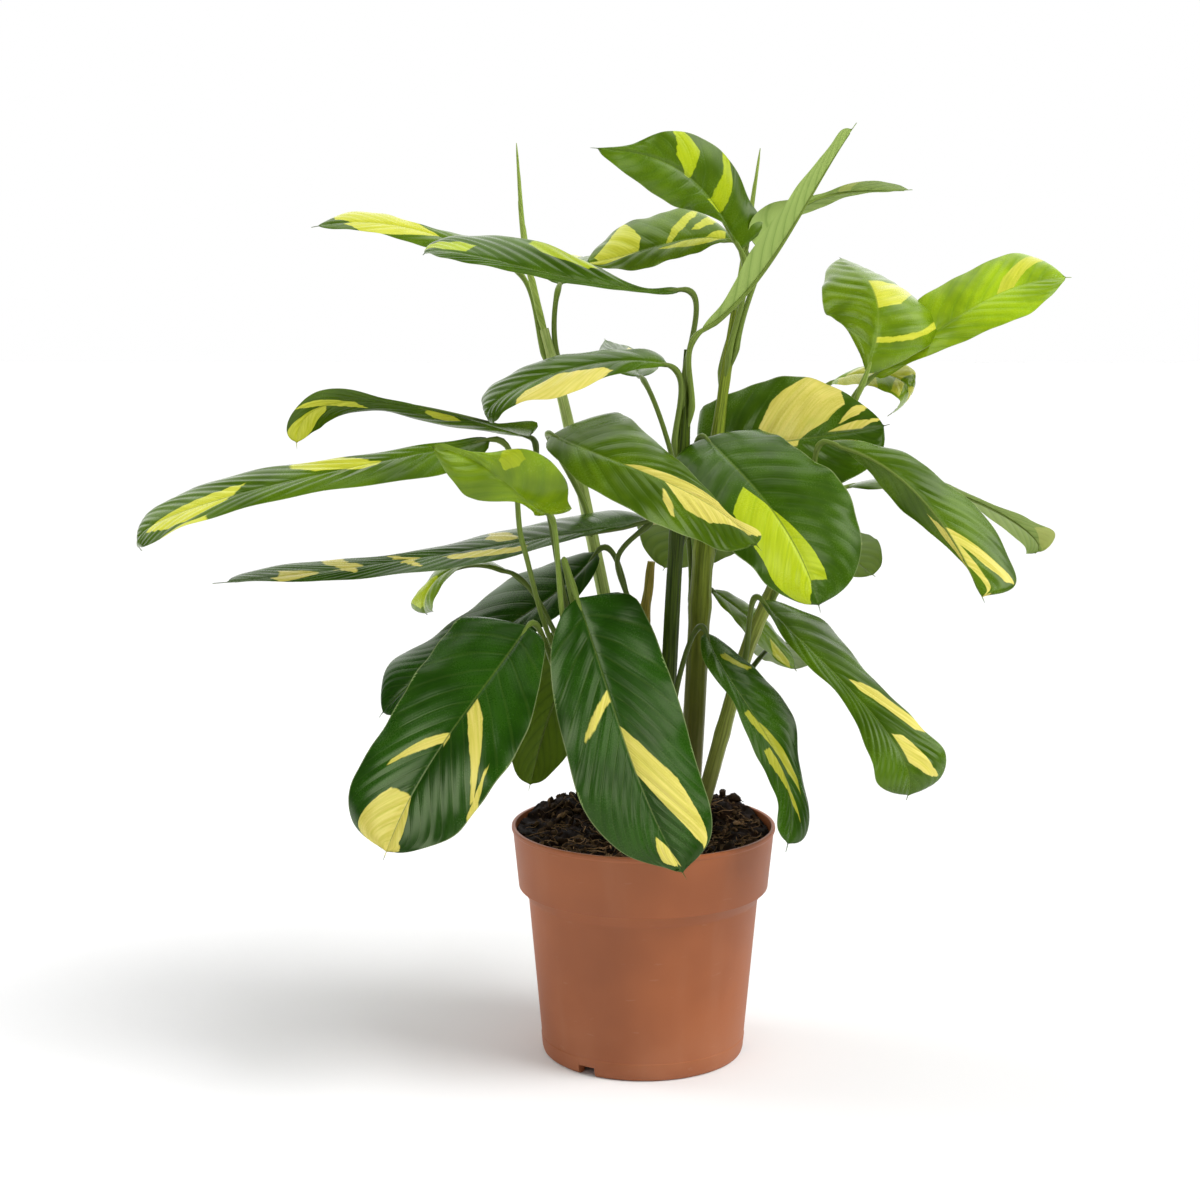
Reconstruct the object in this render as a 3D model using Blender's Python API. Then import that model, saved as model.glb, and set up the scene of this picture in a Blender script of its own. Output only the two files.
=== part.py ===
"""Potted ctenanthe: a nursery pot with its soil, four canes, a leafy shoot, a cut stem, rolled new leaves
and the leaves themselves, each on its own petiole.

All sizes and places are in millimetres and are scaled to metres as each mesh is made. The origin is the
centre of the pot's underside, +Z is up and the plant's front faces -Y.
"""

import math

import bmesh
import bpy
from mathutils import Quaternion, Vector

MM = 0.001
GAP = 0.3  # clearance between two pieces that touch
UP = Vector((0, 0, 1))

# Pot: a turned, thin-walled tub with a wide collar under its rim.
POT_HEIGHT = 150.0
RIM_RADIUS = 85.0
COLLAR_FOOT_RADIUS = 80.8
COLLAR_DEPTH = 39.0
STEP_DEPTH = 8.0
BODY_TOP_RADIUS = 74.3
FOOT_RADIUS = 65.6
WALL = 1.9
FLOOR_TOP = 5.2
FLOOR_UNDERSIDE = 3.0
FOOT_RING_WIDTH = 4.4
PAD_RADIUS = 24.0
POT_SEGMENTS = 48
NOTCH_WIDTH = 12.0
NOTCH_HEIGHT = 6.0
NOTCH_ANGLES = (-124.0, -4.0, 116.0)
DRAIN_RADIUS = 4.0
DRAIN_CIRCLE = 42.0
DRAIN_COUNT = 6

# Soil: fills the pot to just under the rim and is heaped towards the back.
SOIL_EDGE_HEIGHT = 141.0
SOIL_HEAP = 12.0
SOIL_RINGS = (0.0, 0.22, 0.45, 0.68, 0.86, 1.0)
SOIL_SEGMENTS = 36
SOCKET_FLOOR = 118.0  # height at which the stems end inside the soil

# Leaves
PETIOLE_RADIUS = 1.7
PULVINUS_RADIUS = 1.4
BLADE_HALF_THICKNESS = 0.55
BLADE_STATIONS = (0.05, 0.13, 0.24, 0.37, 0.5, 0.63, 0.76, 0.87, 0.95, 1.0)
RIB_STATIONS = (-0.55, 0.0, 0.55)
BASE_ROUNDNESS = 0.62  # power of the blade's outline towards its base: smaller is rounder
TIP_HALF_WIDTH = 0.5

DEEP_GREEN = (0.025, 0.12, 0.015)
YOUNG_GREEN = (0.2, 0.38, 0.02)
STEM_GREEN = (0.2, 0.27, 0.05)

# Each stem: points up its middle and the radius at each point.
STEMS = {
    "cane_middle": (
        [(10, -9, SOCKET_FLOOR), (12, -10, 168), (18, -10, 298), (24, -10, 399), (26, -9, 455)],
        [5.4, 5.2, 4.8, 4.4, 3.0],
    ),
    "cane_broad": (
        [(27, 20, SOCKET_FLOOR), (30, 20, 160), (33, 20, 214), (39, 22, 328), (50, 26, 421), (58, 29, 478)],
        [7.4, 7.4, 7.2, 6.6, 3.4, 2.6],
    ),
    "cane_right": (
        [(25, -2, SOCKET_FLOOR), (40, 0, 169), (64, 6, 256), (83, 14, 301), (106, 30, 352), (122, 40, 398)],
        [5.2, 5.0, 4.6, 4.2, 3.4, 2.6],
    ),
    "cane_left": (
        [(12, 30, SOCKET_FLOOR), (2, 31, 158), (-30, 35, 317), (-49, 38, 408), (-64, 40, 466)],
        [4.8, 4.6, 4.2, 3.6, 2.8],
    ),
    "leafy_shoot": (
        [(-5, -10, SOCKET_FLOOR), (-17, -15, 161), (-34, -25, 223), (-47, -33, 262)],
        [7.0, 6.6, 5.4, 3.0],
    ),
    "cut_stem": (
        [(-8, 9, SOCKET_FLOOR), (-5, 10, 163), (-1, 12, 262), (5, 12, 319)],
        [4.6, 4.4, 4.0, 2.4],
    ),
}

# Each rolled new leaf stands on the end of a stem.
NEW_LEAVES = {
    "new_leaf_left": ("cane_left", [(-76, 40, 520), (-81, 40, 583)]),
    "new_leaf_right": ("cane_broad", [(65, 34, 520), (74, 45, 580)]),
}

# Each leaf: the stem it grows on and the height where it joins, the two ends of its blade, the way its
# upper face looks (turn from +X, rise), and the shape of the blade. LEAF_DEFAULTS fills in the rest.
LEAF_DEFAULTS = {
    "via": [],  # points that the petiole passes through
    "side": None,  # turn from +X of the side of the stem that the petiole leaves by
    "arch": (10, 10),  # rise of the midrib at a third and at two thirds of the blade
    "sway": (0, 0),  # the same, towards the right margin
    "hook": 0.0,  # how far the midrib swings out before it turns back down to the tip
    "width": 64,
    "right_share": 0.5,  # part of the width that lies right of the midrib
    "widest": (0.5, 0.5),  # where along the blade the right and the left half are widest
    "taper": 0.55,  # power of the outline towards the tip: smaller is rounder
    "fold": (12, 12),  # upward slope of the right and the left half, in degrees
    "curl": 30,  # how much that slope drops by the margin
    "twist": (0, 0),  # turn of the blade at its base and its tip
    "tone": DEEP_GREEN,
}
LEAVES = {
    "leaf_upper_left": dict(
        stem="cane_middle", joins=432, base=(22, -18, 492), tip=(-118, -52, 510), faces=(-90, 68),
        arch=(3, 17), hook=0.75, width=58, widest=(0.68, 0.68), side=-110),
    "leaf_upper_left_golden": dict(
        stem="cane_left", joins=452, base=(-86, 46, 506), tip=(-209, 15, 530), faces=(-90, 72),
        arch=(17, 22), width=44, widest=(0.6, 0.6), side=150),
    "leaf_upper_back": dict(
        stem="cane_left", joins=446, base=(-54, 56, 494), tip=(-30, 165, 505), faces=(-90, 85),
        arch=(16, 14), width=56, side=45),
    "leaf_top_middle": dict(
        stem="cane_broad", joins=440, base=(57, 45, 522), tip=(-39, 32, 508), faces=(-90, 52),
        arch=(14, 18), width=56, side=125),
    "leaf_top": dict(
        stem="cane_broad", joins=450, base=(60, 14, 516), tip=(-34, -30, 577), faces=(-75, 12),
        arch=(22, 12), sway=(26, 16), width=60, right_share=0.58, widest=(0.28, 0.28), taper=1.0,
        fold=(10, 16), side=-90),
    "leaf_top_furled": dict(
        stem="cane_middle", joins=420, base=(34, -28, 467), tip=(129, -10, 593), faces=(145, 35),
        arch=(-4, -4), width=44, fold=(22, 22), side=-40),
    "leaf_top_right": dict(
        stem="cane_broad", joins=456, base=(76, 28, 512), tip=(177, 85, 555), faces=(90, 75),
        arch=(32, 14), width=46, twist=(-24, 0), side=-30),
    "leaf_young_upright": dict(
        stem="cane_right", joins=372, base=(142, 26, 438), tip=(132, 106, 511), faces=(-96, 46),
        arch=(44, 30), sway=(18, 20), width=84, widest=(0.4, 0.4), taper=0.9, fold=(-22, 0),
        tone=YOUNG_GREEN, side=-60),
    "leaf_young_right": dict(
        stem="cane_right", joins=366, base=(152, 72, 434), tip=(285, 94, 498), faces=(-96, 42),
        arch=(32, 48), width=46, widest=(0.66, 0.66), tone=YOUNG_GREEN, side=20),
    "leaf_right_small": dict(
        stem="cane_right", joins=340, base=(129, 118, 427), tip=(166, 106, 405), faces=(-80, 60),
        arch=(30, 52), hook=0.9, width=38, side=120),
    "leaf_back_cream": dict(
        stem="cane_broad", joins=330, base=(37, 46, 375), tip=(156, 12, 407), faces=(-95, 30),
        arch=(28, 14), width=88, right_share=0.46, widest=(0.4, 0.4), side=80),
    "leaf_right_arching": dict(
        stem="cane_right", joins=300, base=(114, -14, 398), tip=(206, -62, 304), faces=(-66, 38),
        via=[(104, -4, 350)], arch=(24, 32), width=72, right_share=0.26, widest=(0.6, 0.7), taper=0.45,
        fold=(-55, 8), side=-70),
    "leaf_right_slender": dict(
        stem="cane_right", joins=320, base=(133, 50, 363), tip=(265, 88, 314), faces=(80, 68),
        arch=(4, 28), hook=0.5, width=42, widest=(0.66, 0.66), fold=(22, 22), side=40),
    "leaf_right_tucked": dict(
        stem="cane_right", joins=280, base=(107, 52, 322), tip=(163, 128, 292), faces=(100, 45),
        arch=(12, 14), width=54, side=80),
    "leaf_centre_broad": dict(
        stem="cane_middle", joins=345, base=(38, -8, 400), tip=(105, -75, 300), faces=(-75, 35),
        arch=(26, 26), width=100, right_share=0.42, widest=(0.46, 0.34), taper=0.45, side=0),
    "leaf_centre_front": dict(
        stem="cane_left", joins=345, base=(-58, -8, 402), tip=(67, -100, 341), faces=(-110, 50),
        arch=(22, 4), width=68, widest=(0.66, 0.2), taper=0.6, fold=(12, 2), side=-90),
    "leaf_middle_left": dict(
        stem="cane_middle", joins=398, base=(14, -24, 446), tip=(-94, -44, 412), faces=(-90, 74),
        arch=(22, 36), hook=0.45, width=56, right_share=0.55, widest=(0.55, 0.55), side=-150),
    "leaf_middle_back": dict(
        stem="cane_broad", joins=292, base=(-1, 62, 434), tip=(-25, 160, 455), faces=(-90, 74),
        arch=(2, 0), width=42, widest=(0.4, 0.4), taper=1.2, side=130),
    "leaf_left_high": dict(
        stem="leafy_shoot", joins=232, base=(-72, -26, 402), tip=(-212, -50, 396), faces=(-90, 78),
        via=[(-50, -46, 306), (-58, -46, 350), (-66, -38, 386)], arch=(6, 64), hook=0.35, width=36,
        widest=(0.7, 0.7), twist=(4, -40), side=-20),
    "leaf_left_long": dict(
        stem="leafy_shoot", joins=238, base=(-95, -45, 402), tip=(-304, -70, 337), faces=(-90, 72),
        via=[(-64, -38, 292), (-76, -44, 340)], arch=(10, 34), hook=0.4, width=54, right_share=0.44,
        widest=(0.55, 0.4), side=170),
    "leaf_young_left": dict(
        stem="leafy_shoot", joins=222, base=(-59, -68, 359), tip=(-130, -90, 402), faces=(-50, 30),
        via=[(-50, -58, 290)], arch=(28, 12), width=70, right_share=0.56, widest=(0.38, 0.38),
        fold=(-22, -12), twist=(-40, 0), tone=YOUNG_GREEN, side=-95),
    "leaf_left_slender": dict(
        stem="cut_stem", joins=270, base=(2, -6, 347), tip=(-268, -36, 312), faces=(-90, 88),
        via=[(-17, -2, 322)], arch=(-4, -8), width=56, widest=(0.3, 0.3), twist=(-16, 0), side=-130),
    "leaf_left_drooping": dict(
        stem="leafy_shoot", joins=226, base=(-84, 2, 313), tip=(-139, 14, 284), faces=(-95, 80),
        via=[(-57, -22, 280)], arch=(8, 32), hook=0.4, width=44, widest=(0.6, 0.6), twist=(0, -50), side=110),
    "leaf_front_left": dict(
        stem="leafy_shoot", joins=200, base=(-72, -58, 289), tip=(-156, -125, 160), faces=(-110, 30),
        via=[(-52, -50, 250)], arch=(18, 20), sway=(0, 5), width=94, right_share=0.55, side=-125),
    "leaf_left_tucked": dict(
        stem="cut_stem", joins=255, base=(-30, 20, 324), tip=(-169, -6, 221), faces=(-120, 50),
        arch=(0, 26), hook=0.1, width=52, widest=(0.6, 0.6), side=160),
    "leaf_front_centre": dict(
        stem="leafy_shoot", joins=208, base=(-42, -62, 307), tip=(24, -115, 145), faces=(-88, 22),
        via=[(-42, -54, 290), (-50, -58, 330)], arch=(12, 8), width=82, widest=(0.58, 0.58), side=-60),
    "leaf_inner_hanging": dict(
        stem="cut_stem", joins=228, base=(-8, 24, 284), tip=(-74, -2, 172), faces=(110, 15),
        arch=(0, 0), sway=(-32, -16), width=60, taper=0.45, side=70),
    "leaf_low_right": dict(
        stem="cane_right", joins=255, base=(74, -12, 298), tip=(159, -75, 184), faces=(-60, 48),
        arch=(2, 44), hook=0.25, width=68, widest=(0.8, 0.8), taper=0.4, twist=(-42, 12), side=-90),
    "leaf_low_hanging": dict(
        stem="cane_middle", joins=222, base=(38, -35, 281), tip=(85, -85, 154), faces=(-50, 20),
        arch=(12, 18), sway=(-4, -10), width=44, right_share=0.44, widest=(0.55, 0.55), side=-60),
    "leaf_low_slender": dict(
        stem="cane_broad", joins=262, base=(45, 36, 297), tip=(101, 36, 243), faces=(-90, 72),
        arch=(6, 6), width=34, side=60),
    "leaf_back_low": dict(
        stem="cane_broad", joins=298, base=(50, 60, 345), tip=(16, 150, 293), faces=(60, 60),
        arch=(16, 18), width=78, side=60),
    "leaf_low_tucked": dict(
        stem="cane_right", joins=215, base=(88, 60, 257), tip=(109, 132, 225), faces=(90, 65),
        arch=(8, 10), width=46, side=90),
}


def clear_scene():
    for obj in list(bpy.data.objects):
        bpy.data.objects.remove(obj, do_unlink=True)


def material(name, colour, roughness):
    mat = bpy.data.materials.new(name)
    mat.use_nodes = True
    shader = mat.node_tree.nodes["Principled BSDF"]
    shader.inputs["Base Color"].default_value = (*colour, 1.0)
    shader.inputs["Roughness"].default_value = roughness
    shader.inputs["Metallic"].default_value = 0.0
    return mat


def add_object(name, bm, colour, roughness):
    """Scale the millimetre mesh to metres and link it as one smooth-shaded object."""
    bmesh.ops.scale(bm, vec=(MM, MM, MM), verts=bm.verts)
    bmesh.ops.recalc_face_normals(bm, faces=bm.faces)
    mesh = bpy.data.meshes.new(name)
    bm.to_mesh(mesh)
    bm.free()
    mesh.shade_smooth()
    mesh.set_sharp_from_angle(angle=math.radians(35))
    mesh.materials.append(material(name, colour, roughness))
    obj = bpy.data.objects.new(name, mesh)
    bpy.context.scene.collection.objects.link(obj)
    return obj


def skin(rings):
    """Close a row of equal rings of points into one solid, with a flat face at each end."""
    bm = bmesh.new()
    rows = [[bm.verts.new(point) for point in ring] for ring in rings]
    count = len(rows[0])
    for low, high in zip(rows, rows[1:]):
        for i in range(count):
            j = (i + 1) % count
            bm.faces.new((low[i], low[j], high[j], high[i]))
    bm.faces.new(reversed(rows[0]))
    bm.faces.new(rows[-1])
    return bm


def turned(profile, segments):
    """Turn a profile of (radius, height) about Z. It starts and ends on the axis."""
    bm = bmesh.new()
    verts = [bm.verts.new((radius, 0, height)) for radius, height in profile]
    edges = [bm.edges.new(pair) for pair in zip(verts, verts[1:])]
    bmesh.ops.spin(
        bm, geom=verts + edges, cent=(0, 0, 0), axis=(0, 0, 1), angle=2 * math.pi, steps=segments,
        use_merge=True,
    )
    bmesh.ops.remove_doubles(bm, verts=bm.verts, dist=0.001)
    return bm


def cut(target, cutters):
    for cutter in cutters:
        cutter.hide_render = True
        cutter.display_type = "WIRE"
        boolean = target.modifiers.new("cut_" + cutter.name, "BOOLEAN")
        boolean.operation = "DIFFERENCE"
        boolean.solver = "EXACT"
        boolean.object = cutter


def direction(turn, rise=0.0):
    """Unit vector with its turn from +X about Z and its rise above the horizon, in degrees."""
    turn, rise = math.radians(turn), math.radians(rise)
    return Vector((math.cos(turn) * math.cos(rise), math.sin(turn) * math.cos(rise), math.sin(rise)))


def smooth_path(points, start, end, steps):
    """Cubic curve through the points that leaves along start and arrives along end."""
    points = [Vector(point) for point in points]
    slopes = [(after - before) / 2 for before, after in zip(points, points[2:])]
    slopes.insert(0, start.normalized() * (points[1] - points[0]).length)
    slopes.append(end.normalized() * (points[-1] - points[-2]).length)
    path = [points[0]]
    for i in range(len(points) - 1):
        for k in range(1, steps + 1):
            t = k / steps
            path.append(
                points[i] * (2 * t**3 - 3 * t**2 + 1)
                + slopes[i] * (t**3 - 2 * t**2 + t)
                + points[i + 1] * (3 * t**2 - 2 * t**3)
                + slopes[i + 1] * (t**3 - t**2)
            )
    return path


def bezier(a, b, c, d, t):
    s = 1 - t
    return a * s**3 + b * 3 * s * s * t + c * 3 * s * t * t + d * t**3


def tangents(path):
    ends = [path[0]] + path[:-1], path[1:] + [path[-1]]
    return [(after - before).normalized() for before, after in zip(*ends)]


def carried_sides(directions, side):
    """Carry a side vector along the directions without letting it spin about them."""
    sides = [(side - directions[0] * side.dot(directions[0])).normalized()]
    for before, after in zip(directions, directions[1:]):
        turn = before.rotation_difference(after)
        sides.append(turn @ sides[-1])
    return sides


def tube_rings(path, radii, sides):
    rings = []
    along = tangents(path)
    for centre, tangent, side, radius in zip(path, along, carried_sides(along, Vector((1, 0, 0))), radii):
        across = tangent.cross(side)
        rings.append([
            centre + (side * math.cos(a) + across * math.sin(a)) * radius
            for a in (2 * math.pi * i / sides for i in range(sides))
        ])
    return rings


def spread(values, steps):
    """Steps values between each two given ones, in even parts."""
    even = [values[0]]
    for low, high in zip(values, values[1:]):
        even += [low + (high - low) * k / steps for k in range(1, steps + 1)]
    return even


def stem_path(name, steps):
    points, radii = STEMS[name]
    first, last = Vector(points[0]), Vector(points[-1])
    start = Vector(points[1]) - first
    end = last - Vector(points[-2])
    return smooth_path(points, start, end, steps), spread(radii, steps)


def stem_at(name, height):
    """Centre, direction and radius of a stem at a height."""
    path, radii = stem_path(name, 12)
    along = tangents(path)
    for i in range(len(path) - 1):
        low, high = path[i], path[i + 1]
        if low.z <= height <= high.z:
            part = (height - low.z) / (high.z - low.z)
            return low.lerp(high, part), along[i].lerp(along[i + 1], part), radii[i]
    return path[-1], along[-1], radii[-1]


def half_outline(t, widest, taper):
    """Width of half a blade, as a part of its greatest, at t from its base to its tip."""
    if t < widest:
        return math.sin(math.pi / 2 * t / widest) ** BASE_ROUNDNESS
    return max(math.cos(math.pi / 2 * (t - widest) / (1 - widest)), 0.0) ** taper


def across_blade(u, half_width, fold, curl):
    """Places across a folded and curled half blade: along the side and up from the midrib."""
    fold, curl = math.radians(fold), math.radians(curl)
    angle = fold - curl * abs(u)
    outward = half_width * (math.sin(fold) - math.sin(angle)) / curl
    upward = half_width * (math.cos(angle) - math.cos(fold)) / curl
    return math.copysign(outward, u), upward


def leaf_rings(spec):
    """Rings of eight points along a petiole and its blade: the round petiole flattens into the blade."""
    base, tip = Vector(spec["base"]), Vector(spec["tip"])
    chord = tip - base
    right = chord.cross(direction(*spec["faces"])).normalized()
    upper = right.cross(chord).normalized()
    handles = [
        base + chord * part + upper * arch + right * sway
        for part, arch, sway in zip((1 / 3, 2 / 3 + spec["hook"]), spec["arch"], spec["sway"])
    ]

    centre, climb, radius = stem_at(spec["stem"], spec["joins"])
    outward = base - centre if spec["side"] is None else direction(spec["side"])
    outward = (outward - climb * outward.dot(climb)).normalized()
    foot = centre + outward * (radius + GAP + PETIOLE_RADIUS)
    start = handles[0] - base
    petiole = smooth_path([foot, *spec["via"], base], climb, start, 4)

    blade = [bezier(base, *handles, tip, t) for t in BLADE_STATIONS]
    path = petiole + blade
    along = tangents(path)
    joint = len(petiole) - 1
    petiole_sides = carried_sides(along[joint::-1], right)[::-1]

    rings = []
    for i, (point, tangent) in enumerate(zip(path, along)):
        t = 0.0 if i <= joint else BLADE_STATIONS[i - joint - 1]
        if i <= joint:
            side = petiole_sides[i]
            half_depth = PETIOLE_RADIUS + (PULVINUS_RADIUS - PETIOLE_RADIUS) * i / joint
            halves = half_depth, half_depth
            folds = 0.0, 0.0
        else:
            side = (right - tangent * right.dot(tangent)).normalized()
            shares = spec["right_share"], 1 - spec["right_share"]
            halves = [
                max(spec["width"] * share * half_outline(t, widest, spec["taper"]), TIP_HALF_WIDTH)
                for share, widest in zip(shares, spec["widest"])
            ]
            half_depth = BLADE_HALF_THICKNESS
            folds = spec["fold"]
        twist = spec["twist"][0] + (spec["twist"][1] - spec["twist"][0]) * t
        side = Quaternion(tangent, math.radians(twist)) @ side
        normal = side.cross(tangent)

        def place(u, face):
            half = 0 if u > 0 else 1
            curl = spec["curl"] if i > joint else 0.01
            outward, upward = across_blade(u, halves[half], folds[half], curl)
            depth = face * half_depth * math.sqrt(1 - u * u)
            return point + side * outward + normal * (upward + depth)

        ring = [place(1.0, 0)]
        ring += [place(u, 1) for u in reversed(RIB_STATIONS)]
        ring.append(place(-1.0, 0))
        ring += [place(u, -1) for u in RIB_STATIONS]
        rings.append(ring)
    return rings


def make_leaf(name, spec):
    spec = {**LEAF_DEFAULTS, **spec}
    return add_object(name, skin(leaf_rings(spec)), spec["tone"], 0.32)


def make_stem(name):
    path, radii = stem_path(name, 3)
    return add_object(name, skin(tube_rings(path, radii, 10)), STEM_GREEN, 0.42)


def make_new_leaf(name, stem, points):
    path, radii = stem_path(stem, 3)
    climb = tangents(path)[-1]
    foot = path[-1] + climb * GAP
    spike = smooth_path([foot, *points], climb, Vector(points[-1]) - Vector(points[-2]), 4)
    widths = spread([2.2, 2.1, 0.5], 4)
    return add_object(name, skin(tube_rings(spike, widths, 8)), YOUNG_GREEN, 0.4)


def wall_radius(height):
    """Inner radius of the pot's wall at a height."""
    step_top = POT_HEIGHT - COLLAR_DEPTH
    step_foot = step_top - STEP_DEPTH
    if height >= step_top:
        part = (height - step_top) / COLLAR_DEPTH
        return COLLAR_FOOT_RADIUS + (RIM_RADIUS - 0.6 - COLLAR_FOOT_RADIUS) * part - WALL
    if height >= step_foot:
        part = (height - step_foot) / STEP_DEPTH
        return BODY_TOP_RADIUS + (COLLAR_FOOT_RADIUS - BODY_TOP_RADIUS) * part - WALL
    part = height / step_foot
    return FOOT_RADIUS + (BODY_TOP_RADIUS - FOOT_RADIUS) * part - WALL


def make_pot():
    step_top = POT_HEIGHT - COLLAR_DEPTH
    step_foot = step_top - STEP_DEPTH
    lip = 0.8
    ring_inner = FOOT_RADIUS - 1.2 - FOOT_RING_WIDTH
    profile = [
        (0, 0), (PAD_RADIUS, 0), (PAD_RADIUS + 1.5, FLOOR_UNDERSIDE),
        (ring_inner - 1, FLOOR_UNDERSIDE), (ring_inner, 0), (FOOT_RADIUS - 1.6, 0),
        (FOOT_RADIUS - 0.4, 0.7), (FOOT_RADIUS + 0.1, 2.2),
        (BODY_TOP_RADIUS, step_foot), (COLLAR_FOOT_RADIUS, step_top),
        (RIM_RADIUS - 0.6, POT_HEIGHT - 2.2), (RIM_RADIUS, POT_HEIGHT - 1.8),
        (RIM_RADIUS, POT_HEIGHT - lip / 2), (RIM_RADIUS - 0.4, POT_HEIGHT),
        (RIM_RADIUS - WALL - 0.4, POT_HEIGHT), (RIM_RADIUS - WALL - 0.7, POT_HEIGHT - lip),
        (wall_radius(step_top), step_top), (wall_radius(step_foot), step_foot),
        (wall_radius(FLOOR_TOP + 3), FLOOR_TOP + 3), (wall_radius(FLOOR_TOP) - 3, FLOOR_TOP),
        (0, FLOOR_TOP),
    ]
    pot = add_object("pot", turned(profile, POT_SEGMENTS), (0.36, 0.12, 0.055), 0.45)

    notches = []
    for number, turn in enumerate(NOTCH_ANGLES):
        bm = bmesh.new()
        bmesh.ops.create_cube(bm, size=1.0)
        bmesh.ops.scale(bm, vec=(16.0, NOTCH_WIDTH, 2 * NOTCH_HEIGHT), verts=bm.verts)
        bmesh.ops.translate(bm, vec=(FOOT_RADIUS - 2.0, 0, 0), verts=bm.verts)
        notch = add_object(f"notch_cutter_{number}", bm, (1, 0, 0), 0.5)
        notch.rotation_euler.z = math.radians(turn)
        notches.append(notch)
    drains = []
    for number in range(DRAIN_COUNT):
        turn = 2 * math.pi * number / DRAIN_COUNT
        bm = bmesh.new()
        bmesh.ops.create_cone(
            bm, cap_ends=True, segments=12, radius1=DRAIN_RADIUS, radius2=DRAIN_RADIUS, depth=20)
        centre = (DRAIN_CIRCLE * math.cos(turn), DRAIN_CIRCLE * math.sin(turn), FLOOR_TOP)
        bmesh.ops.translate(bm, vec=centre, verts=bm.verts)
        drains.append(add_object(f"drain_cutter_{number}", bm, (1, 0, 0), 0.5))
    cut(pot, notches + drains)
    return pot


def soil_height(radius_part, turn):
    """Height of the soil: level at the front, heaped at the back, uneven all over."""
    back = 0.5 + 0.5 * radius_part * math.sin(turn)
    heap = SOIL_HEAP * back * back
    bumps = 1.6 * math.sin(3 * turn + 5 * radius_part) + 1.0 * math.sin(7 * turn - 9 * radius_part)
    return SOIL_EDGE_HEIGHT + heap + bumps * radius_part


def make_soil():
    floor = FLOOR_TOP + GAP
    turns = [2 * math.pi * i / SOIL_SEGMENTS for i in range(SOIL_SEGMENTS)]

    def ring(radius, heights):
        return [(radius * math.cos(a), radius * math.sin(a), z) for a, z in zip(turns, heights)]

    edge = wall_radius(SOIL_EDGE_HEIGHT) - 2 * GAP
    step_top = POT_HEIGHT - COLLAR_DEPTH
    rings = [ring(4.0, [floor] * SOIL_SEGMENTS)]
    for height, inset in ((floor, 4.0), (floor + 4.0, 1.0), (step_top - STEP_DEPTH, 0.8), (step_top, 1.6)):
        rings.append(ring(wall_radius(height) - inset, [height] * SOIL_SEGMENTS))
    for part in reversed(SOIL_RINGS[1:]):
        rings.append(ring(edge * part, [soil_height(part, a) for a in turns]))
    bm = skin(rings)
    soil = add_object("soil", bm, (0.035, 0.018, 0.01), 0.95)

    sockets = []
    for name, (points, radii) in STEMS.items():
        path, widths = stem_path(name, 3)
        path[0] = path[0] + (path[0] - path[1]).normalized() * GAP
        widths = [radius + GAP / math.cos(math.pi / 10) for radius in widths]
        rings = tube_rings(path, widths, 10)
        sockets.append(add_object("socket_cutter_" + name, skin(rings), (1, 0, 0), 0.5))
    cut(soil, sockets)
    return soil


def main():
    clear_scene()
    make_pot()
    make_soil()
    for name in STEMS:
        make_stem(name)
    for name, (stem, points) in NEW_LEAVES.items():
        make_new_leaf(name, stem, points)
    for name, spec in LEAVES.items():
        make_leaf(name, spec)


main()
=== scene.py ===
"""Potted ctenanthe: a moulded pot, its peat, the canes, two rolled new leaves and the variegated leaves, each
with its petiole, standing on a pale floor.

Shapes are worked out in millimetres in the frame of the CAD model and are scaled to metres as each mesh is
made. Every shape is a grid of points, computed as whole arrays: a leaf blade is a surface over (place along
its veins, place across the blade), and everything else is a profile carried along a path or turned about Z.
"""

import math
from functools import partialmethod
from itertools import product

import bpy
import numpy as np
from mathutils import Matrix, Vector


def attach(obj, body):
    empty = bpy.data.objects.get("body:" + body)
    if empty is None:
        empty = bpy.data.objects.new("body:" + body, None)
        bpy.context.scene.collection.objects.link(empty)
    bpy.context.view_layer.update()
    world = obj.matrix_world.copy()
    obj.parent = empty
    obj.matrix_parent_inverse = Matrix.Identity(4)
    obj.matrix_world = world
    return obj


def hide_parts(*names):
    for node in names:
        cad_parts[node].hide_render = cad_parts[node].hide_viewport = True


bl_info = {
    "name": "Potted Ctenanthe",
    "version": (1, 0, 0),
    "blender": (4, 5, 0),
    "location": "3D View > Sidebar > Ctenanthe",
    "description": "Pot, peat, canes and variegated leaves of a potted ctenanthe",
    "category": "Add Mesh",
}

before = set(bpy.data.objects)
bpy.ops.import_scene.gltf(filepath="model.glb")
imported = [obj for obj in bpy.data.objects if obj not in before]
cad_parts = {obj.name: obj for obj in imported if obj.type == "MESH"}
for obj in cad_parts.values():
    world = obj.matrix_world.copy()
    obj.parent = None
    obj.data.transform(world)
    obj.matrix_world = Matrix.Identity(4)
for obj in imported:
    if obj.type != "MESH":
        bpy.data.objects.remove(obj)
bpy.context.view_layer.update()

MM = 0.001
GAP = 0.3
UP = np.array((0.0, 0.0, 1.0))
TAU = 2 * math.pi

# Pot
POT_HEIGHT = 150.0
RIM_RADIUS = 85.0
COLLAR_FOOT_RADIUS = 80.8
COLLAR_DEPTH = 39.0
STEP_DEPTH = 8.0
STEP_TOP = POT_HEIGHT - COLLAR_DEPTH
STEP_FOOT = STEP_TOP - STEP_DEPTH
BODY_TOP_RADIUS = 74.3
FOOT_RADIUS = 65.6
WALL = 1.9
FLOOR_TOP = 5.2
FLOOR_UNDERSIDE = 3.0
FOOT_RING_WIDTH = 4.4
PAD_RADIUS = 24.0
NOTCH_WIDTH = 12.0
NOTCH_HEIGHT = 6.0
NOTCH_ANGLES = (-124.0, -4.0, 116.0)
BEAD_BELOW_STEP = 92.0
POT_TURNS = 180

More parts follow.
